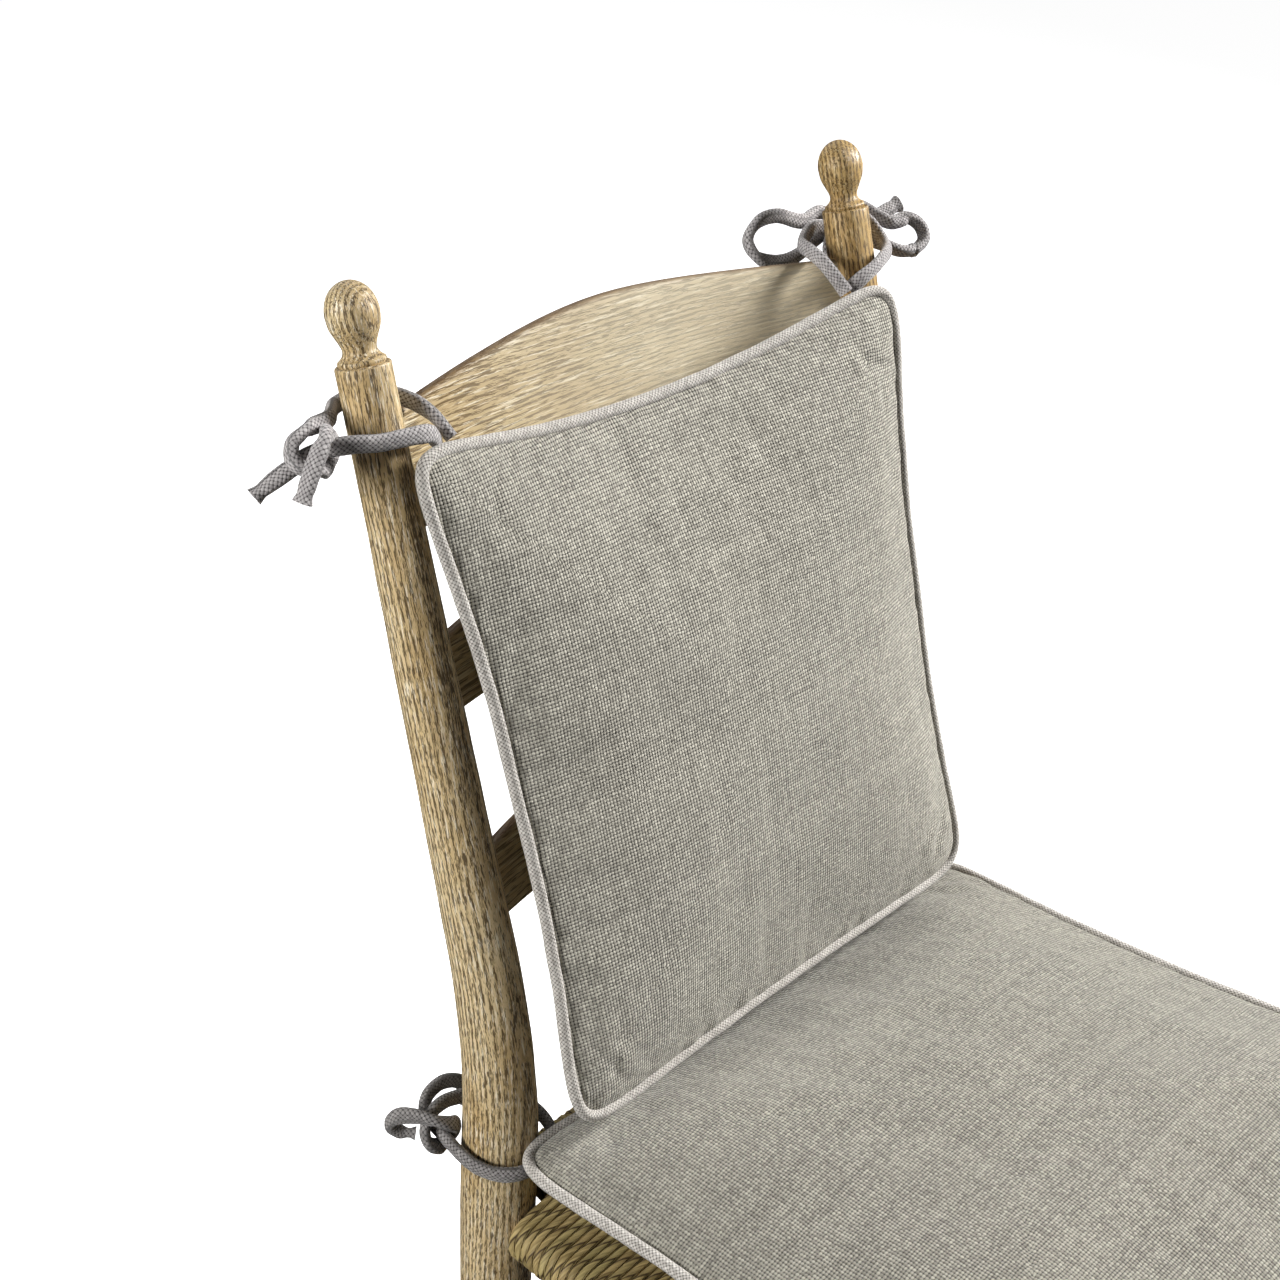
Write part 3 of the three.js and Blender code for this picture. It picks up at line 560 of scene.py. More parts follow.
def twisted_rush(name):
    """Seat rush; "strand" holds length and girth in metres and the strand's number."""
    shade = Shade(name)
    strand = shade.stored("strand")
    length, girth, number = shade.split(strand)
    luck = shade.chance(number)
    turn = shade.scaled(girth, 1 / 0.0088, shade.math("DIVIDE", length, 0.019))
    ply = shade.math("ABSOLUTE", shade.math("SINE", shade.times(turn, math.pi)))
    fibre_place = shade.join(
        shade.times(turn, 6.0), shade.times(length, 30.0),
        shade.times(number, 3.7),
    )
    fibres = shade.noise(fibre_place, 1, 3, 0.7)
    blotch_place = shade.join(shade.times(length, 26.0), shade.times(number, 2.3))
    blotch = shade.noise(blotch_place, 1, 2)
    colour = shade.mix(shade.step(fibres, 0.3, 0.7), tint(120, 99, 60), tint(196, 172, 118))
    colour = shade.mix(shade.times(luck, 0.45), colour, tint(158, 150, 98))
    stain = shade.times(shade.step(blotch, 0.55, 0.75), 0.5)
    colour = shade.mix(stain, colour, tint(104, 78, 44))
    # Painted shade: the grooves between the twisted plies are darkened.
    colour = shade.mix(shade.step(ply, 0.05, 0.4), tint(70, 54, 32), colour)
    height = shade.scaled(fibres, 0.35, ply)
    return shade.finish(
        Base_Color=colour, Roughness=0.62, Normal=shade.bump(height, 0.0007), Specular_IOR_Level=0.35,
    )


def speckled(name, light, dark, scale, rough, relief):
    """A plain moulded or matted stuff with mottling and a fine uneven surface."""
    shade = Shade(name)
    place = shade.node("TexCoord", {}).outputs["Object"]
    coarse = shade.noise(place, scale, 4, 0.65)
    fine = shade.noise(place, scale * 7, 3, 0.6)
    colour = shade.mix(shade.step(coarse, 0.35, 0.65), dark, light)
    roughness = shade.scaled(fine, 0.25, rough - 0.12)
    height = shade.scaled(fine, 0.5, coarse)
    return shade.finish(Base_Color=colour, Roughness=roughness, Normal=shade.bump(height, relief))


OAK_LIGHT = tint(222, 200, 156)
OAK_WARM = tint(192, 162, 110)
OAK_DARK = tint(82, 62, 34)
OAK_WAX = tint(248, 240, 218)
oak_left = limed_oak("oak_grey", OAK_LIGHT, OAK_WARM, OAK_DARK, OAK_WAX)
oak_right = limed_oak(
    "oak_golden", tint(196, 164, 108), tint(164, 128, 74), tint(76, 56, 28), tint(222, 200, 154),
)
oak_plain = limed_oak("oak_plain", OAK_LIGHT, OAK_WARM, OAK_DARK, OAK_WAX, pores=0.85)
oak_crest = limed_oak(
    "oak_crest", tint(186, 164, 118), tint(172, 146, 98), tint(96, 74, 40), tint(232, 222, 196),
    across=1500, along=75, pores=0.95, relief=0.0002, rough=0.5,
)
oak_slat = limed_oak(
    "oak_slat", tint(176, 154, 112), tint(156, 130, 86), tint(84, 66, 38), tint(196, 182, 150),
    across=1250, along=48, pores=0.85, relief=0.0002, rough=0.5,
)
# The third colour of each weave is painted shade for the gaps between its yarns.
CLOTH_PITCH = 0.00215
back_linen = woven(
    "back_linen", CLOTH_PITCH, tint(212, 207, 192), tint(154, 149, 137), tint(48, 45, 39), bump=0.0009,
)
# Painted shade: the seat's cloth is the back's linen made darker, for the less lit seat.
seat_linen_painted_shade = woven(
    "seat_linen_painted_shade", CLOTH_PITCH, tint(190, 186, 171), tint(132, 128, 117), tint(42, 39, 34), bump=0.0008,
)
# Painted light: the piping is the cushions' linen made paler, as the rounded cord catches more light.
piping_linen = woven(
    "piping_linen", 0.0019, tint(226, 221, 213), tint(176, 170, 162), tint(92, 87, 80),
    bump=0.0003, contrast=0.7,
)
tie_cotton = woven(
    "tie_cotton", 0.0021, tint(206, 201, 199), tint(156, 151, 150), tint(74, 70, 70),
    bump=0.0004, contrast=0.7,
)
# Painted shade: the seat ties' cotton is the back ties' cotton made darker.
seat_tie_cotton = woven(
    "seat_tie_cotton", 0.0021, tint(166, 162, 159), tint(116, 112, 110), tint(52, 49, 48),
    bump=0.0004, contrast=0.7,
)
zip_cotton = woven(
    "zip_cotton", 0.0007, tint(150, 144, 132), tint(120, 114, 103), tint(80, 75, 67), bump=0.0001,
)
rush_straw = twisted_rush("rush_straw")
wadding = speckled("wadding", tint(240, 236, 226), tint(214, 208, 194), 60, 0.95, 0.002)
nylon = speckled("nylon", tint(122, 113, 100), tint(98, 90, 79), 900, 0.45, 0.00008)


# ---------- ties in place ----------

for name, route, sign, length in TIES:
    strand, line = tie_mesh(name + "_braid", route, sign)
    # The seat ties get the darker cotton, as painted shade.
    cotton = seat_tie_cotton if name.startswith("seat") else tie_cotton
    settle(strand, cotton, "tie_cotton", name)


# ---------- turned wood ----------

def eased(points, per=8):
    """A profile with soft curves through its (radius, distance) points."""
    flat = catmull([(r, d, 0) for r, d in points], per, 0.5)[:, :2]
    return [tuple(p) for p in flat]


# The finial: radius, and distance above the rim.
FINIAL_SHOULDER = [(15.6, -1.3), (15.35, -0.5), (14.8, 0), (13.6, 0.15), (12.6, -0.1)]
FINIAL_COLLAR = [(12.75, 0.4), (13.3, 1.1), (13.4, 1.8), (13.1, 2.7), (12.3, 3.3)]
FINIAL_COVE = [(12.0, 3.5), (10.3, 5.2), (9.3, 7.4), (9.4, 9.6), (11.4, 14.6), (14.0, 20.6), (15.0, 27.2)]
EGG_RADIUS, EGG_AT, EGG_CAP = 15, 27.6, 17.8
POST_SIDES, LEG_SIDES, SPINDLE_SIDES, GLIDE_SIDES = 72, 64, 48, 40


def post_profile():
    """A rear post and its finial: radius and distance along the bent axis."""
    heights = np.array([h for h, _ in POST_WIDTHS], float)
    heights[0] = 0.6
    distances = np.interp(heights, AXIS_Z - AXIS_Z[0], AXIS_STEPS)
    distances = np.where(heights > 1, np.interp(heights, AXIS_Z, AXIS_STEPS), distances)
    radii = np.array([w for _, w in POST_WIDTHS]) / 2
    body = catmull(np.column_stack([radii, distances, distances * 0]), 16, 0)[:, :2]
    start = RIM_DISTANCE
    chamfer = [(0.05, 0), (body[0][0] - 1.2, 0), (body[0][0] - 0.3, 0.25)]
    shoulder = [(r, start + d) for r, d in FINIAL_SHOULDER]
    collar = [(r, start + d) for r, d in FINIAL_COLLAR]
    cove = eased([(r, start + d) for r, d in FINIAL_COVE], 5)[:-1]
    lift = np.linspace(0, math.pi / 2, 18)
    cap = [(EGG_RADIUS * math.cos(a) + 0.05, start + EGG_AT + EGG_CAP * math.sin(a)) for a in lift]
    return chamfer + [tuple(p) for p in body[1:-1]] + shoulder + collar + cove + cap


def place_post(points, x):
    """Bends straight lathe points to the post's axis at x."""
    y, z, lean = post_axis(points[:, 1])
    return np.stack([x + points[:, 0], y + points[:, 2] * np.cos(lean), z - points[:, 2] * np.sin(lean)], -1)


def turned_by_hand(points, seed):
    """Slight unevenness of old turned wood."""
    girth = unit(points * (1, 0, 1))
    unevenness = 0.16 * smooth_noise(points, 60, seed) + 0.05 * smooth_noise(points, 11, seed + 1)
    return points + girth * unevenness[:, None]


def grain_of(points, seed):
    """Straightened wood coordinates in metres, from another part of the plank for each piece."""
    return (points + np.random.default_rng(seed).uniform(-900, 900, 3)) * MM


for side, sign, material in (("left", -1, oak_left), ("right", 1, oak_right)):
    straight, faces = lathe(post_profile(), POST_SIDES)
    placed = place_post(turned_by_hand(straight, 30 + sign), sign * POST_X)
    placed[:, 2] = np.maximum(placed[:, 2], GLIDE_HEIGHT)
    post = make_piece(f"post_{side}", placed, faces, {"grain": grain_of(straight, 40 + sign)}, crease=50)
    settle(post, material, "oak_turned", f"rear_post_{side}")


def turning(name, start, end, profile, seed, material, slot, node, sides=SPINDLE_SIDES):
    """A turning on the straight line from start to end, from its (radius, distance) profile."""
    start, end = np.array(start, float), np.array(end, float)
    along = unit(end - start)
    square = unit(np.cross(along, (0.3, 0.5, 0.81)))
    other = np.cross(along, square)
    straight, faces = lathe(profile, sides)
    uneven = turned_by_hand(straight, seed)
    placed = start + uneven[:, :1] * other + uneven[:, 1:2] * along + uneven[:, 2:] * square
    made = make_piece(name, placed, faces, {"grain": grain_of(straight, seed)}, crease=45)
    return settle(made, material, slot, node)


def leg_profile():
    """A front leg: ball foot, bead, long taper and domed top."""
    height = LEG_TOP - GLIDE_HEIGHT
    foot = eased([(14.2, 0.3), (17.2, 4), (19.6, 12), (20.4, 22), (19.4, 32), (16.6, 40), (13.9, 44.2)], 5)
    bead = [
        (13.4, 45), (13.3, 48.8), (13.9, 49.2), (16.2, 50), (17.4, 51.6), (17.8, 54), (17.4, 57),
        (16.2, 58.8), (15.2, 59.6), (15, 60.4),
    ]
    taper = eased([(15, 61), (15.6, 100), (17.6, 170), (20.2, 250), (21.8, 310), (22, 340)], 8)
    groove = [(22, 352), (21.9, 353.2), (21.2, 354), (21.9, 354.8), (22, 356), (22, height - 60)]
    groove.append((LEG_RADIUS, height - LEG_DOME))
    lift = np.linspace(0, math.pi / 2, 12)[1:]
    dome = [(LEG_RADIUS * math.cos(a) + 0.05, height - LEG_DOME + LEG_DOME * math.sin(a)) for a in lift]
    return [(0.05, 0), (13.6, 0)] + foot + bead + taper + groove + dome


for side, sign in (("left", -1), ("right", 1)):
    turning(
        f"leg_{side}", (sign * LEG_X, LEG_Y, GLIDE_HEIGHT), (sign * LEG_X, LEG_Y, LEG_TOP), leg_profile(),
        50 + sign, oak_plain, "oak_turned", f"front_leg_{side}", LEG_SIDES,
    )


def leg_radius(height):
    """A front leg's radius where rails and stretchers enter it."""
    if height > LEG_TAPER_TOP:
        return LEG_RADIUS
    return float(np.interp(height, (LEG_NECK[0], LEG_TAPER_TOP), (LEG_NECK[1], LEG_RADIUS)))


def post_radius(height):
    """A rear post's radius at a height."""
    return float(np.interp(height, [h for h, _ in POST_WIDTHS], [w / 2 for _, w in POST_WIDTHS]))


RAIL_TENON, STRETCHER_TENON, TENON_DEPTH = 16, 14, 20


def spindle(length, radii, tenon, width, bulb):
    """A rail or stretcher between two uprights: tenon, taper, body, and a bulb if it has one."""
    half = width / 2

    def end(radius):
        sunk = radius - TENON_DEPTH
        taper = [
            (tenon / 2 + (half - tenon / 2) * math.sin(k / 7 * math.pi / 2), radius + 0.5 + 21.5 * k / 7)
            for k in range(8)
        ]
        return [(0.05, sunk), (tenon / 2 - 0.8, sunk), (tenon / 2, sunk + 0.8)] + taper

    first = end(radii[0])
    last = [(r, length - d) for r, d in end(radii[1])][::-1]
    if not bulb:
        body = [(half, d) for d in np.linspace(first[-1][1], last[0][1], 10)[1:-1]]
        return first + body + last
    to_bead = [
        (half, 80), (half - 0.3, 75.5), (half - 1.2, 74.6), (11.2, 73.4), (12.4, 71.5), (12.9, 68.5),
        (12.8, 65.5), (12.1, 63), (10.6, 61.6), (9.4, 61),
    ]
    to_middle = eased([(9.1, 60), (9.0, 56), (10.2, 47), (12.9, 33), (15.4, 18), (16.8, 6), (17, 0)], 5)
    near = to_bead + to_middle
    middle = length / 2
    left = [(r, middle - d) for r, d in near]
    right = [(r, middle + d) for r, d in near[:-1]][::-1]
    return first + left + right + last


CROSS = [                 # node, tenon width, width, whether it has a bulb
    ("front_rail", RAIL_TENON, 22, False),
    ("rear_rail", RAIL_TENON, 22, False),
    ("front_stretcher_upper", STRETCHER_TENON, 21, True),
    ("front_stretcher_lower", STRETCHER_TENON, 21, True),
    ("rear_stretcher", STRETCHER_TENON, 22, False),
]
SIDES = ["rail", "stretcher_upper", "stretcher_lower"]
SIDE_WIDTH = 22
for number, (node, tenon, width, bulb) in enumerate(CROSS):
    _, y, z = middle_of(node)
    reach, radius = (LEG_X, leg_radius(z)) if node.startswith("front") else (POST_X, post_radius(z))
    profile = spindle(2 * reach, (radius, radius), tenon, width, bulb)
    slot = "oak_rail" if tenon == RAIL_TENON else "oak_turned"
    turning(node + "_turned", (-reach, y, z), (reach, y, z), profile, 60 + number, oak_plain, slot, node)
SIDE_PIECES = [(side, sign, part) for side, sign in (("left", -1), ("right", 1)) for part in SIDES]
for number, (side, sign, part) in enumerate(SIDE_PIECES):
    node = f"{side}_{part}"
    z = middle_of(node)[2]
    tenon = RAIL_TENON if part == "rail" else STRETCHER_TENON
    start, end = (sign * LEG_X, LEG_Y, z), (sign * POST_X, post_y(z), z)
    profile = spindle(math.dist(start, end), (leg_radius(z), post_radius(z)), tenon, SIDE_WIDTH, False)
    slot = "oak_rail" if part == "rail" else "oak_turned"
    turning(node + "_turned", start, end, profile, 70 + number, oak_plain, slot, node)

GLIDE = [
    (0.05, 0), (8.6, 0), (9.6, 0.2), (10.4, 0.9), (10.5, 1.6), (10.4, 2.5), (10.1, 2.7), (1.5, 2.7),
    (1.5, 15.5), (0.05, 17),
]
for node in ("rear_glide_left", "rear_glide_right", "front_glide_left", "front_glide_right"):
    x, y, _ = middle_of(node)
    turning(node + "_moulded", (x, y, 0), (x, y, 17), GLIDE, 90, nylon, "glide_nylon", node, GLIDE_SIDES)


# ---------- slats ----------

SLAT_END = 214
SLAT_HALF = 5
SLAT_BOW = 32
SLAT_ARRIS = 3.4
SLAT_GRAIN_TILT = math.radians(1.0)
# Top and bottom, measured along the posts from the rim.
SLATS = {
    "crest": (-11, -100, oak_crest), "middle": (-146, -211.3, oak_slat), "lower": (-282, -348.3, oak_slat),
}


def slat(name, top, bottom, material, seed):
    """A bowed slat with an arched top edge and softened arrises, tenoned into both posts."""
    across = np.linspace(-SLAT_END, SLAT_END, 121)
    high = top - 8.5 * (np.hypot(1, across / 60) - 1)
    bow = SLAT_BOW * (1 - (across / POST_X) ** 2)
    arris, shares = SLAT_ARRIS, (0.2, 0.4, 0.6, 0.8)
    corner = [(math.sin(k), math.cos(k)) for k in np.linspace(0, math.pi / 2, 6)]
    loop = [(1, -arris + arris * s, (SLAT_HALF - arris) + arris * c) for s, c in corner]
    loop += [(1, -arris + arris * c, -(SLAT_HALF - arris) - arris * s) for s, c in corner]
    loop += [(share, 0, -SLAT_HALF) for share in shares[::-1]]
    loop += [(0, arris - arris * s, -(SLAT_HALF - arris) - arris * c) for s, c in corner]
    loop += [(0, arris - arris * c, (SLAT_HALF - arris) + arris * s) for s, c in corner]
    loop += [(share, 0, SLAT_HALF) for share in shares]
    loop = np.array(loop)
    up = bottom + (high[:, None] - bottom) * loop[None, :, 0] + loop[None, :, 1]
    behind = np.repeat(loop[None, :, 2], len(across), 0)
    flat = np.stack([np.repeat(across[:, None], len(loop), 1), up, behind], -1).reshape(-1, 3)
    uneven = 0.25 * smooth_noise(flat, 150, seed) + 0.05 * smooth_noise(flat, 25, seed + 1)
    placed = on_back(flat[:, 0], flat[:, 1], np.repeat(bow, len(loop)) + flat[:, 2] + uneven)
    faces = tube_faces(len(across), len(loop))
    tilt = SLAT_GRAIN_TILT
    fibres = np.stack([
        flat[:, 1] * math.cos(tilt) + flat[:, 0] * math.sin(tilt),
        flat[:, 0] * math.cos(tilt) - flat[:, 1] * math.sin(tilt), flat[:, 2],
    ], -1)
    # Painted shade along the top edge of every slat, and painted light that pales the crest towards its
    # right.
    painted_top_shade = np.clip((flat[:, 1] - (np.repeat(high, len(loop)) - arris)) / arris, 0, 1)
    painted_light = np.clip((flat[:, 0] + 150) / 190, 0, 1) * (name == "crest")
    edge = np.stack([painted_top_shade, painted_light, painted_top_shade * 0], -1)
    layers = {"grain": grain_of(fibres, seed), "edge": edge}
    made = make_piece(f"slat_{name}", placed, faces, layers, crease=60)
    settle(made, material, "oak_slat", f"{name}_slat")


for number, (name, (top, bottom, material)) in enumerate(SLATS.items()):
    slat(name, top, bottom, material, 100 + 3 * number)


# ---------- rush seat ----------

RUSH_WIDTH = 5.7
RUSH_SIDES = 8
CROSS_RAIL = middle_of("front_rail")[2]
SIDE_RAIL = middle_of("left_rail")[2]
REAR_Y = post_y(CROSS_RAIL)
RAIL_RADIUS = 11
RUSH_TOP, RUSH_BELOW = 443, 424     # the strands' heights over and under the middle of the seat


def seat_point(across, back):
    """A point of the seat's plan from fractions across and from front (-1) to rear (1)."""
    share = (back + 1) / 2
    return across * (LEG_X + (POST_X - LEG_X) * share), LEG_Y + (REAR_Y - LEG_Y) * share


def rush_strand(number, panel, place):
    """One strand: over the seat from the mitre, round its rail and back below to the mitre."""
    to_rail = 1 - abs(place)
    mitre = abs(place)
    if panel in ("front", "rear"):
        sign = -1 if panel == "front" else 1
        rail = np.array([*seat_point(place, sign), CROSS_RAIL])
        end = np.array([*seat_point(place, sign * mitre), 0])
        outward = np.array([0.0, sign, 0.0])
    else:
        sign = -1 if panel == "left" else 1
        rail = np.array([*seat_point(sign, place), SIDE_RAIL])
        end = np.array([*seat_point(sign * mitre, place), 0])
        outward = np.array([float(sign), 0.0, 0.0])
    wrap = RAIL_RADIUS + RUSH_WIDTH / 2 + 0.1
    top_rail, low_rail = rail[2] + wrap, rail[2] - wrap
    top_end, low_end = RUSH_TOP - 4 * mitre, RUSH_BELOW - 9 * mitre
    run = np.linspace(0, 1, 8 if to_rail > 0.25 else 5)[:-1]
    ease = run**0.6 if top_rail < top_end else run**2
    over = [end * (1 - t) + rail * t for t in run]
    over = [np.array([p[0], p[1], top_end + (top_rail - top_end) * e]) for p, e in zip(over, ease)]
    over[0][2] -= 2.5
    around = [
        rail + outward * wrap * math.sin(a) + np.array([0, 0, wrap * math.cos(a)])
        for a in np.linspace(0, math.pi, 9)
    ]
    under = [end * (1 - t) + rail * t for t in run[::-1]]
    fall = low_rail - low_end
    under = [np.array([p[0], p[1], low_end + fall * t**1.5]) for p, t in zip(under, run[::-1])]
    under[-1][2] += 2.5
    line = np.array(over + around + under)
    step = unit(np.gradient(line, axis=0))
    side = unit(np.cross(step, np.cross(outward, (0, 0, 1))))
    side, level = np.cross(step, side), side
    shake = random.normal(size=3)
    level_wave = 0.25 * np.sin(np.arange(len(line)) * 1.7 + shake[0] * 3)
    line = line + np.array([0, 0, 1]) * (0.2 * shake[1] - 0.2) + level * level_wave[:, None]
    radius = RUSH_WIDTH / 2 * (1 + 0.04 * shake[2] + 0.04 * np.sin(np.arange(len(line)) * 2.3 + shake[1] * 4))
    angle = turns(RUSH_SIDES)
    points = line[:, None] + radius[:, None, None] * circles(side, level, angle)
    marks = tube_marks(arc_lengths(line) * MM, angle * RUSH_WIDTH / 2 * MM, float(number))
    return points.reshape(-1, 3), marks.reshape(-1, 3), len(line)


def rush_seat():
    """All strands of the four panels as one woven piece."""
    points, marks, faces, first, number = [], [], [], 0, 0
    for panel in ("front", "rear", "left", "right"):
        if panel in ("front", "rear"):
            half = LEG_X if panel == "front" else POST_X
            clear = (LEG_RADIUS if panel == "front" else post_radius(CROSS_RAIL)) + RUSH_WIDTH / 2 + 0.8
            places = [-1 + clear / half, 1 - clear / half]
            width = 2 * half
        else:
            width = REAR_Y - LEG_Y
            places = [-1 + 2 * (LEG_RADIUS + 4) / width, 1 - 2 * (post_radius(CROSS_RAIL) + 5) / width]
        count = int((places[1] - places[0]) * width / 2 / RUSH_WIDTH) + 1
        for place in np.linspace(places[0], places[1], count):
            strand, mark, rings = rush_strand(number, panel, place)
            points.append(strand)
            marks.append(mark)
            faces += tube_faces(rings, RUSH_SIDES, first)
            first += len(strand)
            number += 1
    made = make_piece("seat_rush", np.vstack(points), faces, {"strand": np.vstack(marks)}, crease=80)
    settle(made, rush_straw, "rush", "rush_seat")


rush_seat()


# ---------- cushions ----------

OUTLINE_POWER = 14
PIPING_RADIUS, PIPING_STEP, PIPING_SIDES = 3.75, 1.5, 20
COVER_INSIDE = 2.4        # how far the cloth's seam lies inside the piping's line
COVER_EDGE = 0.6
PAD_CELLS = 92
BACK_HALF, BACK_ABOVE, BACK_BELOW, BACK_MIDDLE = 218, 222, 213, -266
BACK_TAPER, BACK_WAIST, BACK_DIP = 0.07, 0.12, 0.126
SEAT_HALF, SEAT_HALF_DEPTH, SEAT_MIDDLE_Y, SEAT_SEAM = 242, 210.8, -70.5, 488
SEAT_TAPER, SEAT_WAIST = 0.0585, 0.07
SEAT_PAD_FLOOR = span_of("seat_cushion_cover")[0][2]


def on_outline(u, v):
    """Maps points of the square -1..1 to the rounded outline, with how near its rim they lie."""
    reach = np.maximum(np.abs(u), np.abs(v))
    angle = np.arctan2(v, u)
    power = OUTLINE_POWER
    radius = (np.abs(np.cos(angle)) ** power + np.abs(np.sin(angle)) ** power) ** (-1 / power)
    return reach * radius * np.cos(angle), reach * radius * np.sin(angle), reach


def puff(reach):
    """The thickness of a stuffed pad between its middle (0) and its seam (1)."""
    return np.clip(1 - np.minimum(reach, 1) ** 2.0, 0, 1) ** 0.72


def on_back_cushion(x, y, inside, off):
    """A point of the back cushion, and its place in the plane of the cloth."""
    taper = 1 - BACK_TAPER * np.maximum(-y, 0)
    across = x * (BACK_HALF - inside) * taper * (1 - BACK_WAIST * (1 - y * y))
    upper = y * (BACK_ABOVE - inside) * (1 - BACK_DIP * (1 - x * x))
    rise = np.where(y > 0, upper, y * (BACK_BELOW - inside))
    low = (1 - y) / 2
    bow = (20 - 13 * low) * (1 - x * x)
    return on_back(across, BACK_MIDDLE + rise, -30 - 15 * low + bow + off), across, rise


def on_seat_cushion(x, y, inside, off):
    """A point of the seat cushion, and its place in the plane of the cloth; off is upwards."""
    across = x * (SEAT_HALF - inside) * (1 - SEAT_TAPER * y) * (1 - SEAT_WAIST * (1 - y * y))
    back = y * (SEAT_HALF_DEPTH - inside) * (1 - SEAT_WAIST * (1 - x * x))
    height = np.maximum(SEAT_SEAM + off, SEAT_PAD_FLOOR)
    points = np.stack(np.broadcast_arrays(across, SEAT_MIDDLE_Y + back, height), -1)
    return points.astype(float), across, back


def pad_mesh(name, place, plus, minus, inside=COVER_INSIDE, cells=PAD_CELLS):
    """A closed pad of two panels that share their seam; plus and minus are its swellings."""
    steps = np.sin(np.linspace(-1, 1, cells + 1) * math.pi / 2)
    u, v = np.meshgrid(steps, steps, indexing="ij")
    x, y, reach = on_outline(u.ravel(), v.ravel())
    rim = reach > 1 - 1e-9
    swell = puff(reach)
    points, cloth = [], []
    for sign, height in ((1, plus), (-1, minus)):
        off = sign * (np.where(rim, 0, COVER_EDGE) + height * swell)
        placed, across, rise = place(x, y, inside, off)
        points.append(placed)
        cloth.append(np.stack([across, rise + (0 if sign > 0 else 700), (1 - reach) * 200], -1))
    index = np.arange(len(rim)).reshape(cells + 1, cells + 1)
    inner = np.flatnonzero(~rim)
    second = np.arange(len(rim))
    second[inner] = len(rim) + np.arange(len(inner))
    second = second.reshape(index.shape)
    front = np.stack([index[:-1, :-1], index[1:, :-1], index[1:, 1:], index[:-1, 1:]], -1).reshape(-1, 4)
    rear = np.stack([second[:-1, :-1], second[:-1, 1:], second[1:, 1:], second[1:, :-1]], -1).reshape(-1, 4)
    all_points = np.vstack([points[0], points[1][inner]])
    all_cloth = np.vstack([cloth[0], cloth[1][inner]]) * MM
    near = np.concatenate([reach, reach[inner]])
    faces = np.vstack([front, rear])
    corner = all_points[faces[:, :3]]
    corner = corner - all_points.mean(0)
    volume = np.einsum("ij,ij->i", corner[:, 0], np.cross(corner[:, 1], corner[:, 2])).sum()
    if volume < 0:
        faces = faces[:, ::-1]
    piece = make_piece(name, all_points, faces, {"weave": all_cloth}, crease=89)
    return piece, near


def read(items, key):
    """A property of many mesh items, as rows of three."""
    values = np.empty(len(items) * 3)
    items.foreach_get(key, values)
    return values.reshape(-1, 3)


CLOTH = {
    "quality": 5, "mass": 0.25, "tension_stiffness": 25, "compression_stiffness": 25, "shear_stiffness": 8,
    "bending_stiffness": 0.3, "uniform_pressure_force": 4,
}
CLOTH_HELD = [(1.0, 0.985, 2), (0.6, 0.965, 0.985), (0.25, 0.93, 0.965)]     # weight, nearness to the seam
CLOTH_FRAMES = 20
CLOTH_CAP = 4.5           # the furthest that the simulation may move a point
CLOTH_SLACK = 0.005


def inflate(piece, near, cap, slack):
    """Cloth simulation of a stuffed cover whose seam is held, with the way that a point moves capped."""
    base = read(piece.data.vertices, "co")
    held = piece.vertex_groups.new(name="held")
    for weight, low, high in CLOTH_HELD:
        chosen = np.flatnonzero((near > low) & (near <= high))
        held.add([int(i) for i in chosen], weight, "REPLACE")
    cloth = piece.modifiers.new("cloth", "CLOTH")
    settings = cloth.settings
    settings.use_pressure = True
    for key, value in CLOTH.items():
        setattr(settings, key, value)
    settings.shrink_min = -slack
    settings.vertex_group_mass = "held"
    settings.effector_weights.gravity = 0
    cloth.point_cache.frame_start = 1
    cloth.point_cache.frame_end = CLOTH_FRAMES
    for number in range(1, CLOTH_FRAMES + 1):
        bpy.context.scene.frame_set(number)
    shaped = piece.evaluated_get(bpy.context.evaluated_depsgraph_get())
    move = read(shaped.data.vertices, "co") - base
    far = np.linalg.norm(move, axis=1, keepdims=True)
    move *= np.minimum(1, cap * MM / np.maximum(far, 1e-9))
    piece.modifiers.remove(cloth)
    piece.vertex_groups.clear()
    bpy.context.scene.frame_set(1)
    piece.data.vertices.foreach_set("co", (base + move).ravel())
    piece.data.update()


def refine(piece):
    """One applied subdivision."""
    modifier = piece.modifiers.new("finer", "SUBSURF")
    modifier.levels = modifier.render_levels = 1
    shaped = piece.evaluated_get(bpy.context.evaluated_depsgraph_get())
    finer = bpy.data.meshes.new_from_object(shaped)
    piece.modifiers.clear()
    piece.data = finer
    piece.data.polygons.foreach_set("use_smooth", [True] * len(finer.polygons))


def pucker(piece, seed, floor=None):
    """Soft dents of the stuffing, and small gathers that fade away from the seam."""
    mesh = piece.data
    points, normals = read(mesh.vertices, "co"), read(mesh.vertices, "normal")
    from_seam = read(mesh.attributes["weave"].data, "vector")[:, 2] / MM
    mm = points / MM
    inside = np.clip(from_seam / 25, 0, 1)
    dents = 1.1 * smooth_noise(mm, 150, seed) + 0.45 * smooth_noise(mm, 46, seed + 1)
    near_seam = np.exp(-from_seam / 12) * np.clip(from_seam / 3, 0, 1)
    gathers = 0.55 * smooth_noise(mm, 17, seed + 2, 1) * near_seam
    move = dents * inside + gathers
    points = points + normals * (move * MM)[:, None]
    if floor is not None:
        points[:, 2] = np.maximum(points[:, 2], floor * MM)
    mesh.vertices.foreach_set("co", points.ravel())
    mesh.update()


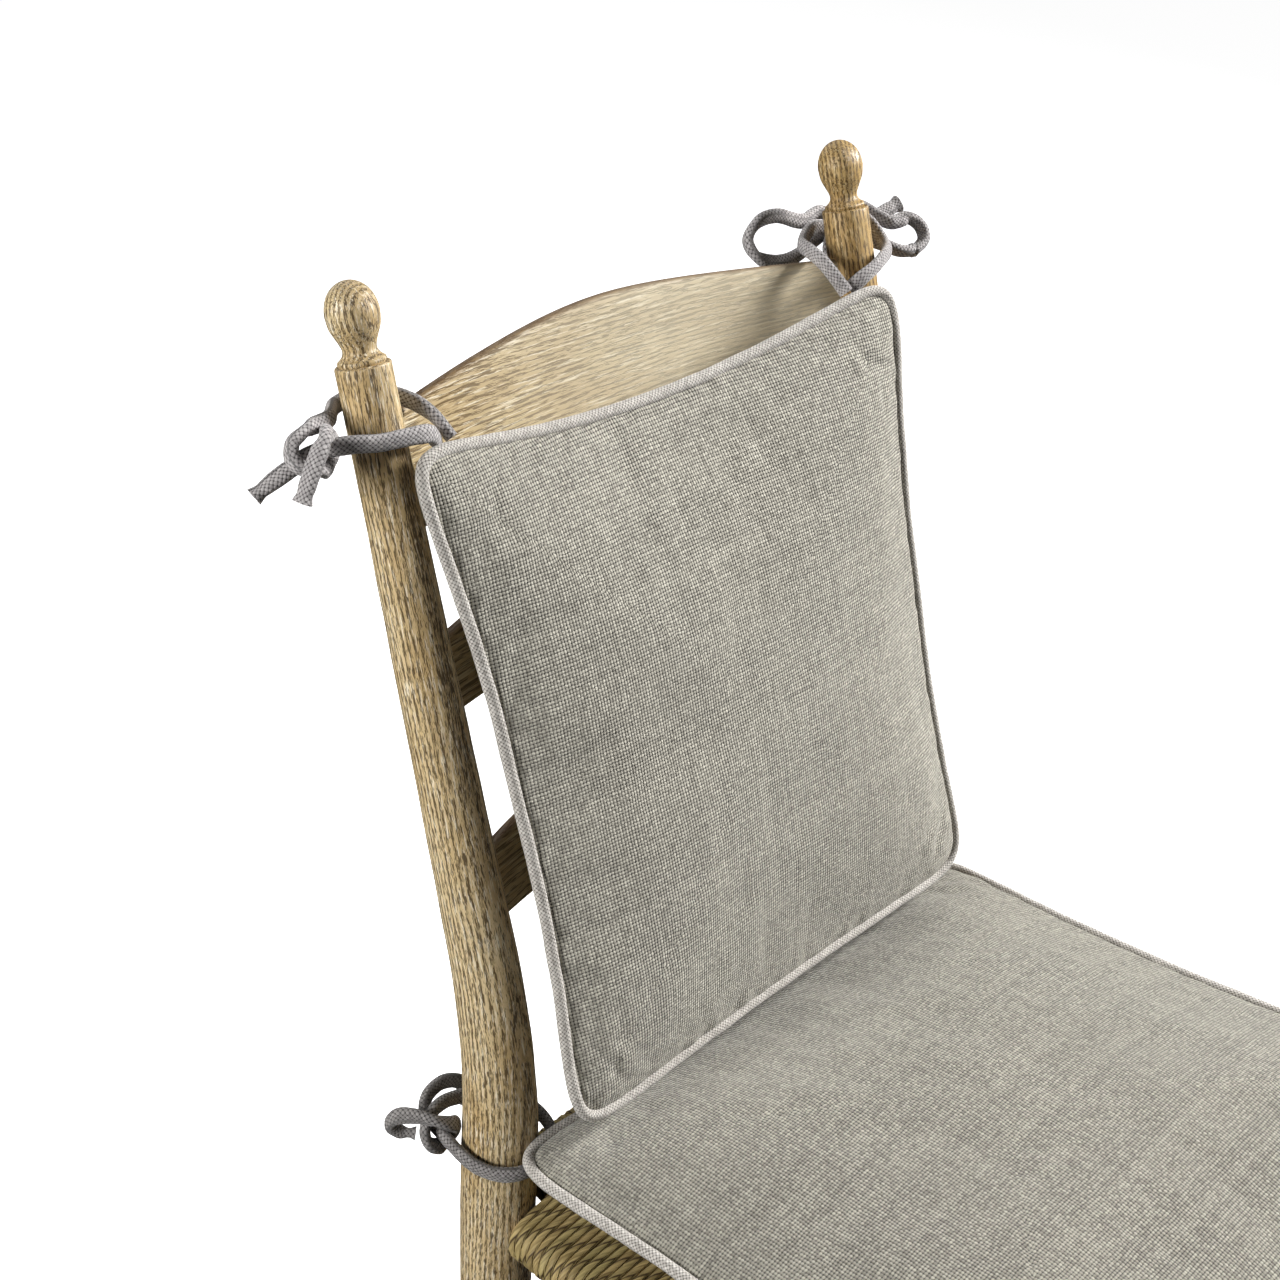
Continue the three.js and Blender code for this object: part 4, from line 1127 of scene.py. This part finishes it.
def piping(name, place, seed):
    """A covered cord along the seam, cut on the bias, slightly wavy."""
    angle = 2 * math.pi * np.linspace(0, 1, 2401)
    u, v = (np.sign(value) * np.abs(value) ** 0.7 for value in (np.cos(angle), np.sin(angle)))
    scale = 1 / np.maximum(np.abs(u), np.abs(v))
    x, y, _ = on_outline(u * scale, v * scale)
    line = place(x, y, 0, 0)[0]
    above = place(x, y, 0, 1)[0]
    along = arc_lengths(line)
    rings = int(along[-1] / PIPING_STEP)
    spots = np.linspace(0, along[-1], rings, endpoint=False)
    centre, over = sample(line, along, spots), unit(sample(above - line, along, spots))
    tangent = unit(np.roll(centre, -1, 0) - np.roll(centre, 1, 0))
    outward = unit(np.cross(tangent, over))
    over = np.cross(outward, tangent)
    centre = centre + over * (0.35 * smooth_noise(centre, 60, seed))[:, None]
    turn = turns(PIPING_SIDES)
    radius = PIPING_RADIUS * (1 + 0.02 * smooth_noise(centre, 22, seed + 1))
    points = (centre[:, None] + radius[:, None, None] * circles(outward, over, turn)).reshape(-1, 3)
    flat = tube_marks(spots, turn * PIPING_RADIUS).reshape(-1, 3)
    faces = ring_faces(rings, PIPING_SIDES, closed=True)
    return make_piece(name, points, faces, {"weave": bias(flat)}, crease=89)


def zip_in(name, cover, along, look, node):
    """A zip on a cover: tape, teeth and a slider, laid where lines along look meet the cloth."""
    tree = BVHTree.FromObject(cover, bpy.context.evaluated_depsgraph_get())
    points, faces, weave = [], [], []

    def block(centre, axes, half):
        first = len(points)
        for a in (-1, 1):
            for b in (-1, 1):
                for c in (-1, 1):
                    spot = centre + axes[0] * half[0] * a + axes[1] * half[1] * b + axes[2] * half[2] * c
                    points.append(spot)
                    weave.append((spot @ axes[0] * MM, spot @ axes[1] * MM, 0))
        for quad in ((0, 1, 3, 2), (4, 6, 7, 5), (0, 4, 5, 1), (2, 3, 7, 6), (0, 2, 6, 4), (1, 5, 7, 3)):
            faces.append([first + k for k in quad])

    spots = []
    for share in np.linspace(-1, 1, 121):
        start = Vector((along(share) + look * -40) * MM)
        hit, normal, _, _ = tree.ray_cast(start, Vector(look))
        if hit is None:
            continue
        spots.append((np.array(hit) / MM, np.array(normal)))
    places = np.array([s[0] for s in spots])
    ways = unit(np.gradient(places, axis=0))

    def axes_at(number):
        beside = unit(np.cross(spots[number][1], ways[number]))
        return ways[number], beside, unit(np.cross(ways[number], beside))

    for number, (spot, _) in enumerate(spots):
        way, beside, lift = axes_at(number)
        side = 1 if number % 2 else -1
        block(spot + lift * 0.25, (way, beside, lift), (1.4, 3.2, 0.2))
        block(spot + lift * 0.75 + beside * side * 0.45, (way, beside, lift), (0.55, 1.0, 0.45))
    spot = spots[-4][0]
    way, beside, lift = axes_at(-4)
    block(spot + lift * 1.6, (way, beside, lift), (4.2, 2.4, 0.7))
    block(spot + lift * 2.6 - way * 7, (way, beside, lift), (7.5, 1.6, 0.35))
    made = make_piece(name, np.array(points), faces, {"weave": np.array(weave)}, crease=30)
    settle(made, zip_cotton, "zip_tape", node)


def cushion(prefix, place, plus, minus, linen, filling_node, filling_name, seed, floor=None):
    """A cover blown up by cloth simulation, its piping, and its filling."""
    cover, near = pad_mesh(prefix + "_cover_cloth", place, plus, minus)
    inflate(cover, near, CLOTH_CAP, CLOTH_SLACK)
    refine(cover)
    pucker(cover, seed, floor)
    settle(cover, linen, f"{prefix}_linen", f"{prefix}_cover")
    cord = piping(prefix + "_piping_cord", place, seed + 5)
    settle(cord, piping_linen, "piping_linen", f"{prefix}_piping")
    inner, _ = pad_mesh(prefix + filling_name, place, plus - 9, minus - 9, inside=14, cells=40)
    mesh = inner.data
    lumps = read(mesh.vertices, "co")
    lumps += unit(lumps - lumps.mean(0)) * (1.2 * MM * smooth_noise(lumps / MM, 45, seed + 8))[:, None]
    if floor is not None:
        lumps[:, 2] = np.maximum(lumps[:, 2], (floor + 2.5) * MM)
    mesh.vertices.foreach_set("co", lumps.ravel())
    settle(inner, wadding, "filling", filling_node)
    return cover


back_cover = cushion(
    "back_cushion", on_back_cushion, 31, 31, back_linen, "back_cushion_insert", "_stuffing", 200,
)
seat_cover = cushion(
    "seat_cushion", on_seat_cushion, 30, 42, seat_linen_painted_shade, "seat_cushion_foam", "_core", 220,
    SEAT_PAD_FLOOR,
)
ZIP_HALF = 148
BACK_NORMAL = np.array([0, math.cos(POST_RAKE), -math.sin(POST_RAKE)])


def back_zip_line(share):
    """A point behind the back cushion's zip, share running from -1 to 1 along it."""
    low, high = span_of("back_cushion_zip")
    return np.array([share * ZIP_HALF, (low[1] + high[1]) / 2, (low[2] + high[2]) / 2]) + BACK_NORMAL * 30


def seat_zip_line(share):
    """A point below the seat cushion's zip, share running from -1 to 1 along it."""
    low, high = span_of("seat_cushion_zip")
    return np.array([share * ZIP_HALF, (low[1] + high[1]) / 2, low[2] - 10])


zip_in("back_zip_coil", back_cover, back_zip_line, -BACK_NORMAL, "back_cushion_zip")
zip_in("seat_zip_coil", seat_cover, seat_zip_line, np.array([0, 0, 1.0]), "seat_cushion_zip")


# ---------- floor and light ----------

LAMPS = [                 # name, azimuth from the front, elevation, distance, size, watts
    ("key", 68, 26, 3.2, 1.1, 218),
    ("side", -98, 20, 3.4, 1.6, 118),
    ("rear", 165, 38, 3.4, 2.4, 26),
]
LAMP_TARGET = (0, 0, 0.7)
STUDIO_SIZE = 14
WORLD_STRENGTH = 0.07
FLOOR_GLOW = 0.9


def plain_white(name, glow, colour_low, colour_high):
    """A matt white for the surroundings, with hardly visible mottling."""
    shade = Shade(name)
    mottle = shade.noise(shade.node("TexCoord", {}).outputs["Object"], 3, 3)
    colour = shade.mix(mottle, (colour_low,) * 3 + (1,), (colour_high,) * 3 + (1,))
    return shade.finish(
        Base_Color=colour, Roughness=0.8, Specular_IOR_Level=0.1,
        Emission_Color=(1, 1, 1, 1), Emission_Strength=glow,
    )


def stage_mesh(name, points, faces, material):
    """A part of the surroundings, which throws no light back on the chair."""
    mesh = bpy.data.meshes.new(name)
    mesh.from_pydata(points, [], faces)
    mesh.materials.append(material)
    made = bpy.data.objects.new(name, mesh)
    made.visible_diffuse = made.visible_glossy = False
    bpy.context.scene.collection.objects.link(made)
    return made


def studio():
    """A near-white floor, a white surround, and soft lamps."""
    size = STUDIO_SIZE
    square = [(-size, -size, 0), (size, -size, 0), (size, size, 0), (-size, size, 0)]
    stage_mesh("floor", square, [(0, 1, 2, 3)], plain_white("floor_white", FLOOR_GLOW, 0.84, 0.88))
    rings, sides = 12, 48
    rise = np.linspace(0, math.pi / 2, rings)
    turn = turns(sides)
    dome = np.stack([
        size * np.cos(rise)[:, None] * np.cos(turn), size * np.cos(rise)[:, None] * np.sin(turn),
        np.repeat(size * np.sin(rise)[:, None] - 0.01, sides, 1),
    ], -1).reshape(-1, 3)
    white = plain_white("surround_white", 1.0, 0, 0.02)
    surround = stage_mesh("surround", dome.tolist(), ring_faces(rings, sides), white)
    surround.visible_shadow = False
    world = bpy.data.worlds.new("studio")
    world.use_nodes = True
    background = world.node_tree.nodes["Background"]
    background.inputs[0].default_value = (1, 1, 1, 1)
    background.inputs[1].default_value = WORLD_STRENGTH
    bpy.context.scene.world = world
    target = Vector(LAMP_TARGET)
    for name, azimuth, elevation, distance, size, power in LAMPS:
        turn, rise = math.radians(azimuth), math.radians(elevation)
        way = Vector((math.sin(turn) * math.cos(rise), -math.cos(turn) * math.cos(rise), math.sin(rise)))
        lamp = bpy.data.lights.new(name, "AREA")
        lamp.shape = "DISK"
        lamp.size = size
        lamp.energy = power
        holder = bpy.data.objects.new(name, lamp)
        holder.location = target + way * distance
        holder.rotation_euler = way.to_track_quat("Z", "Y").to_euler()
        bpy.context.scene.collection.objects.link(holder)
    bpy.context.scene.view_settings.view_transform = "Standard"
    bpy.context.scene.view_settings.look = "None"


studio()
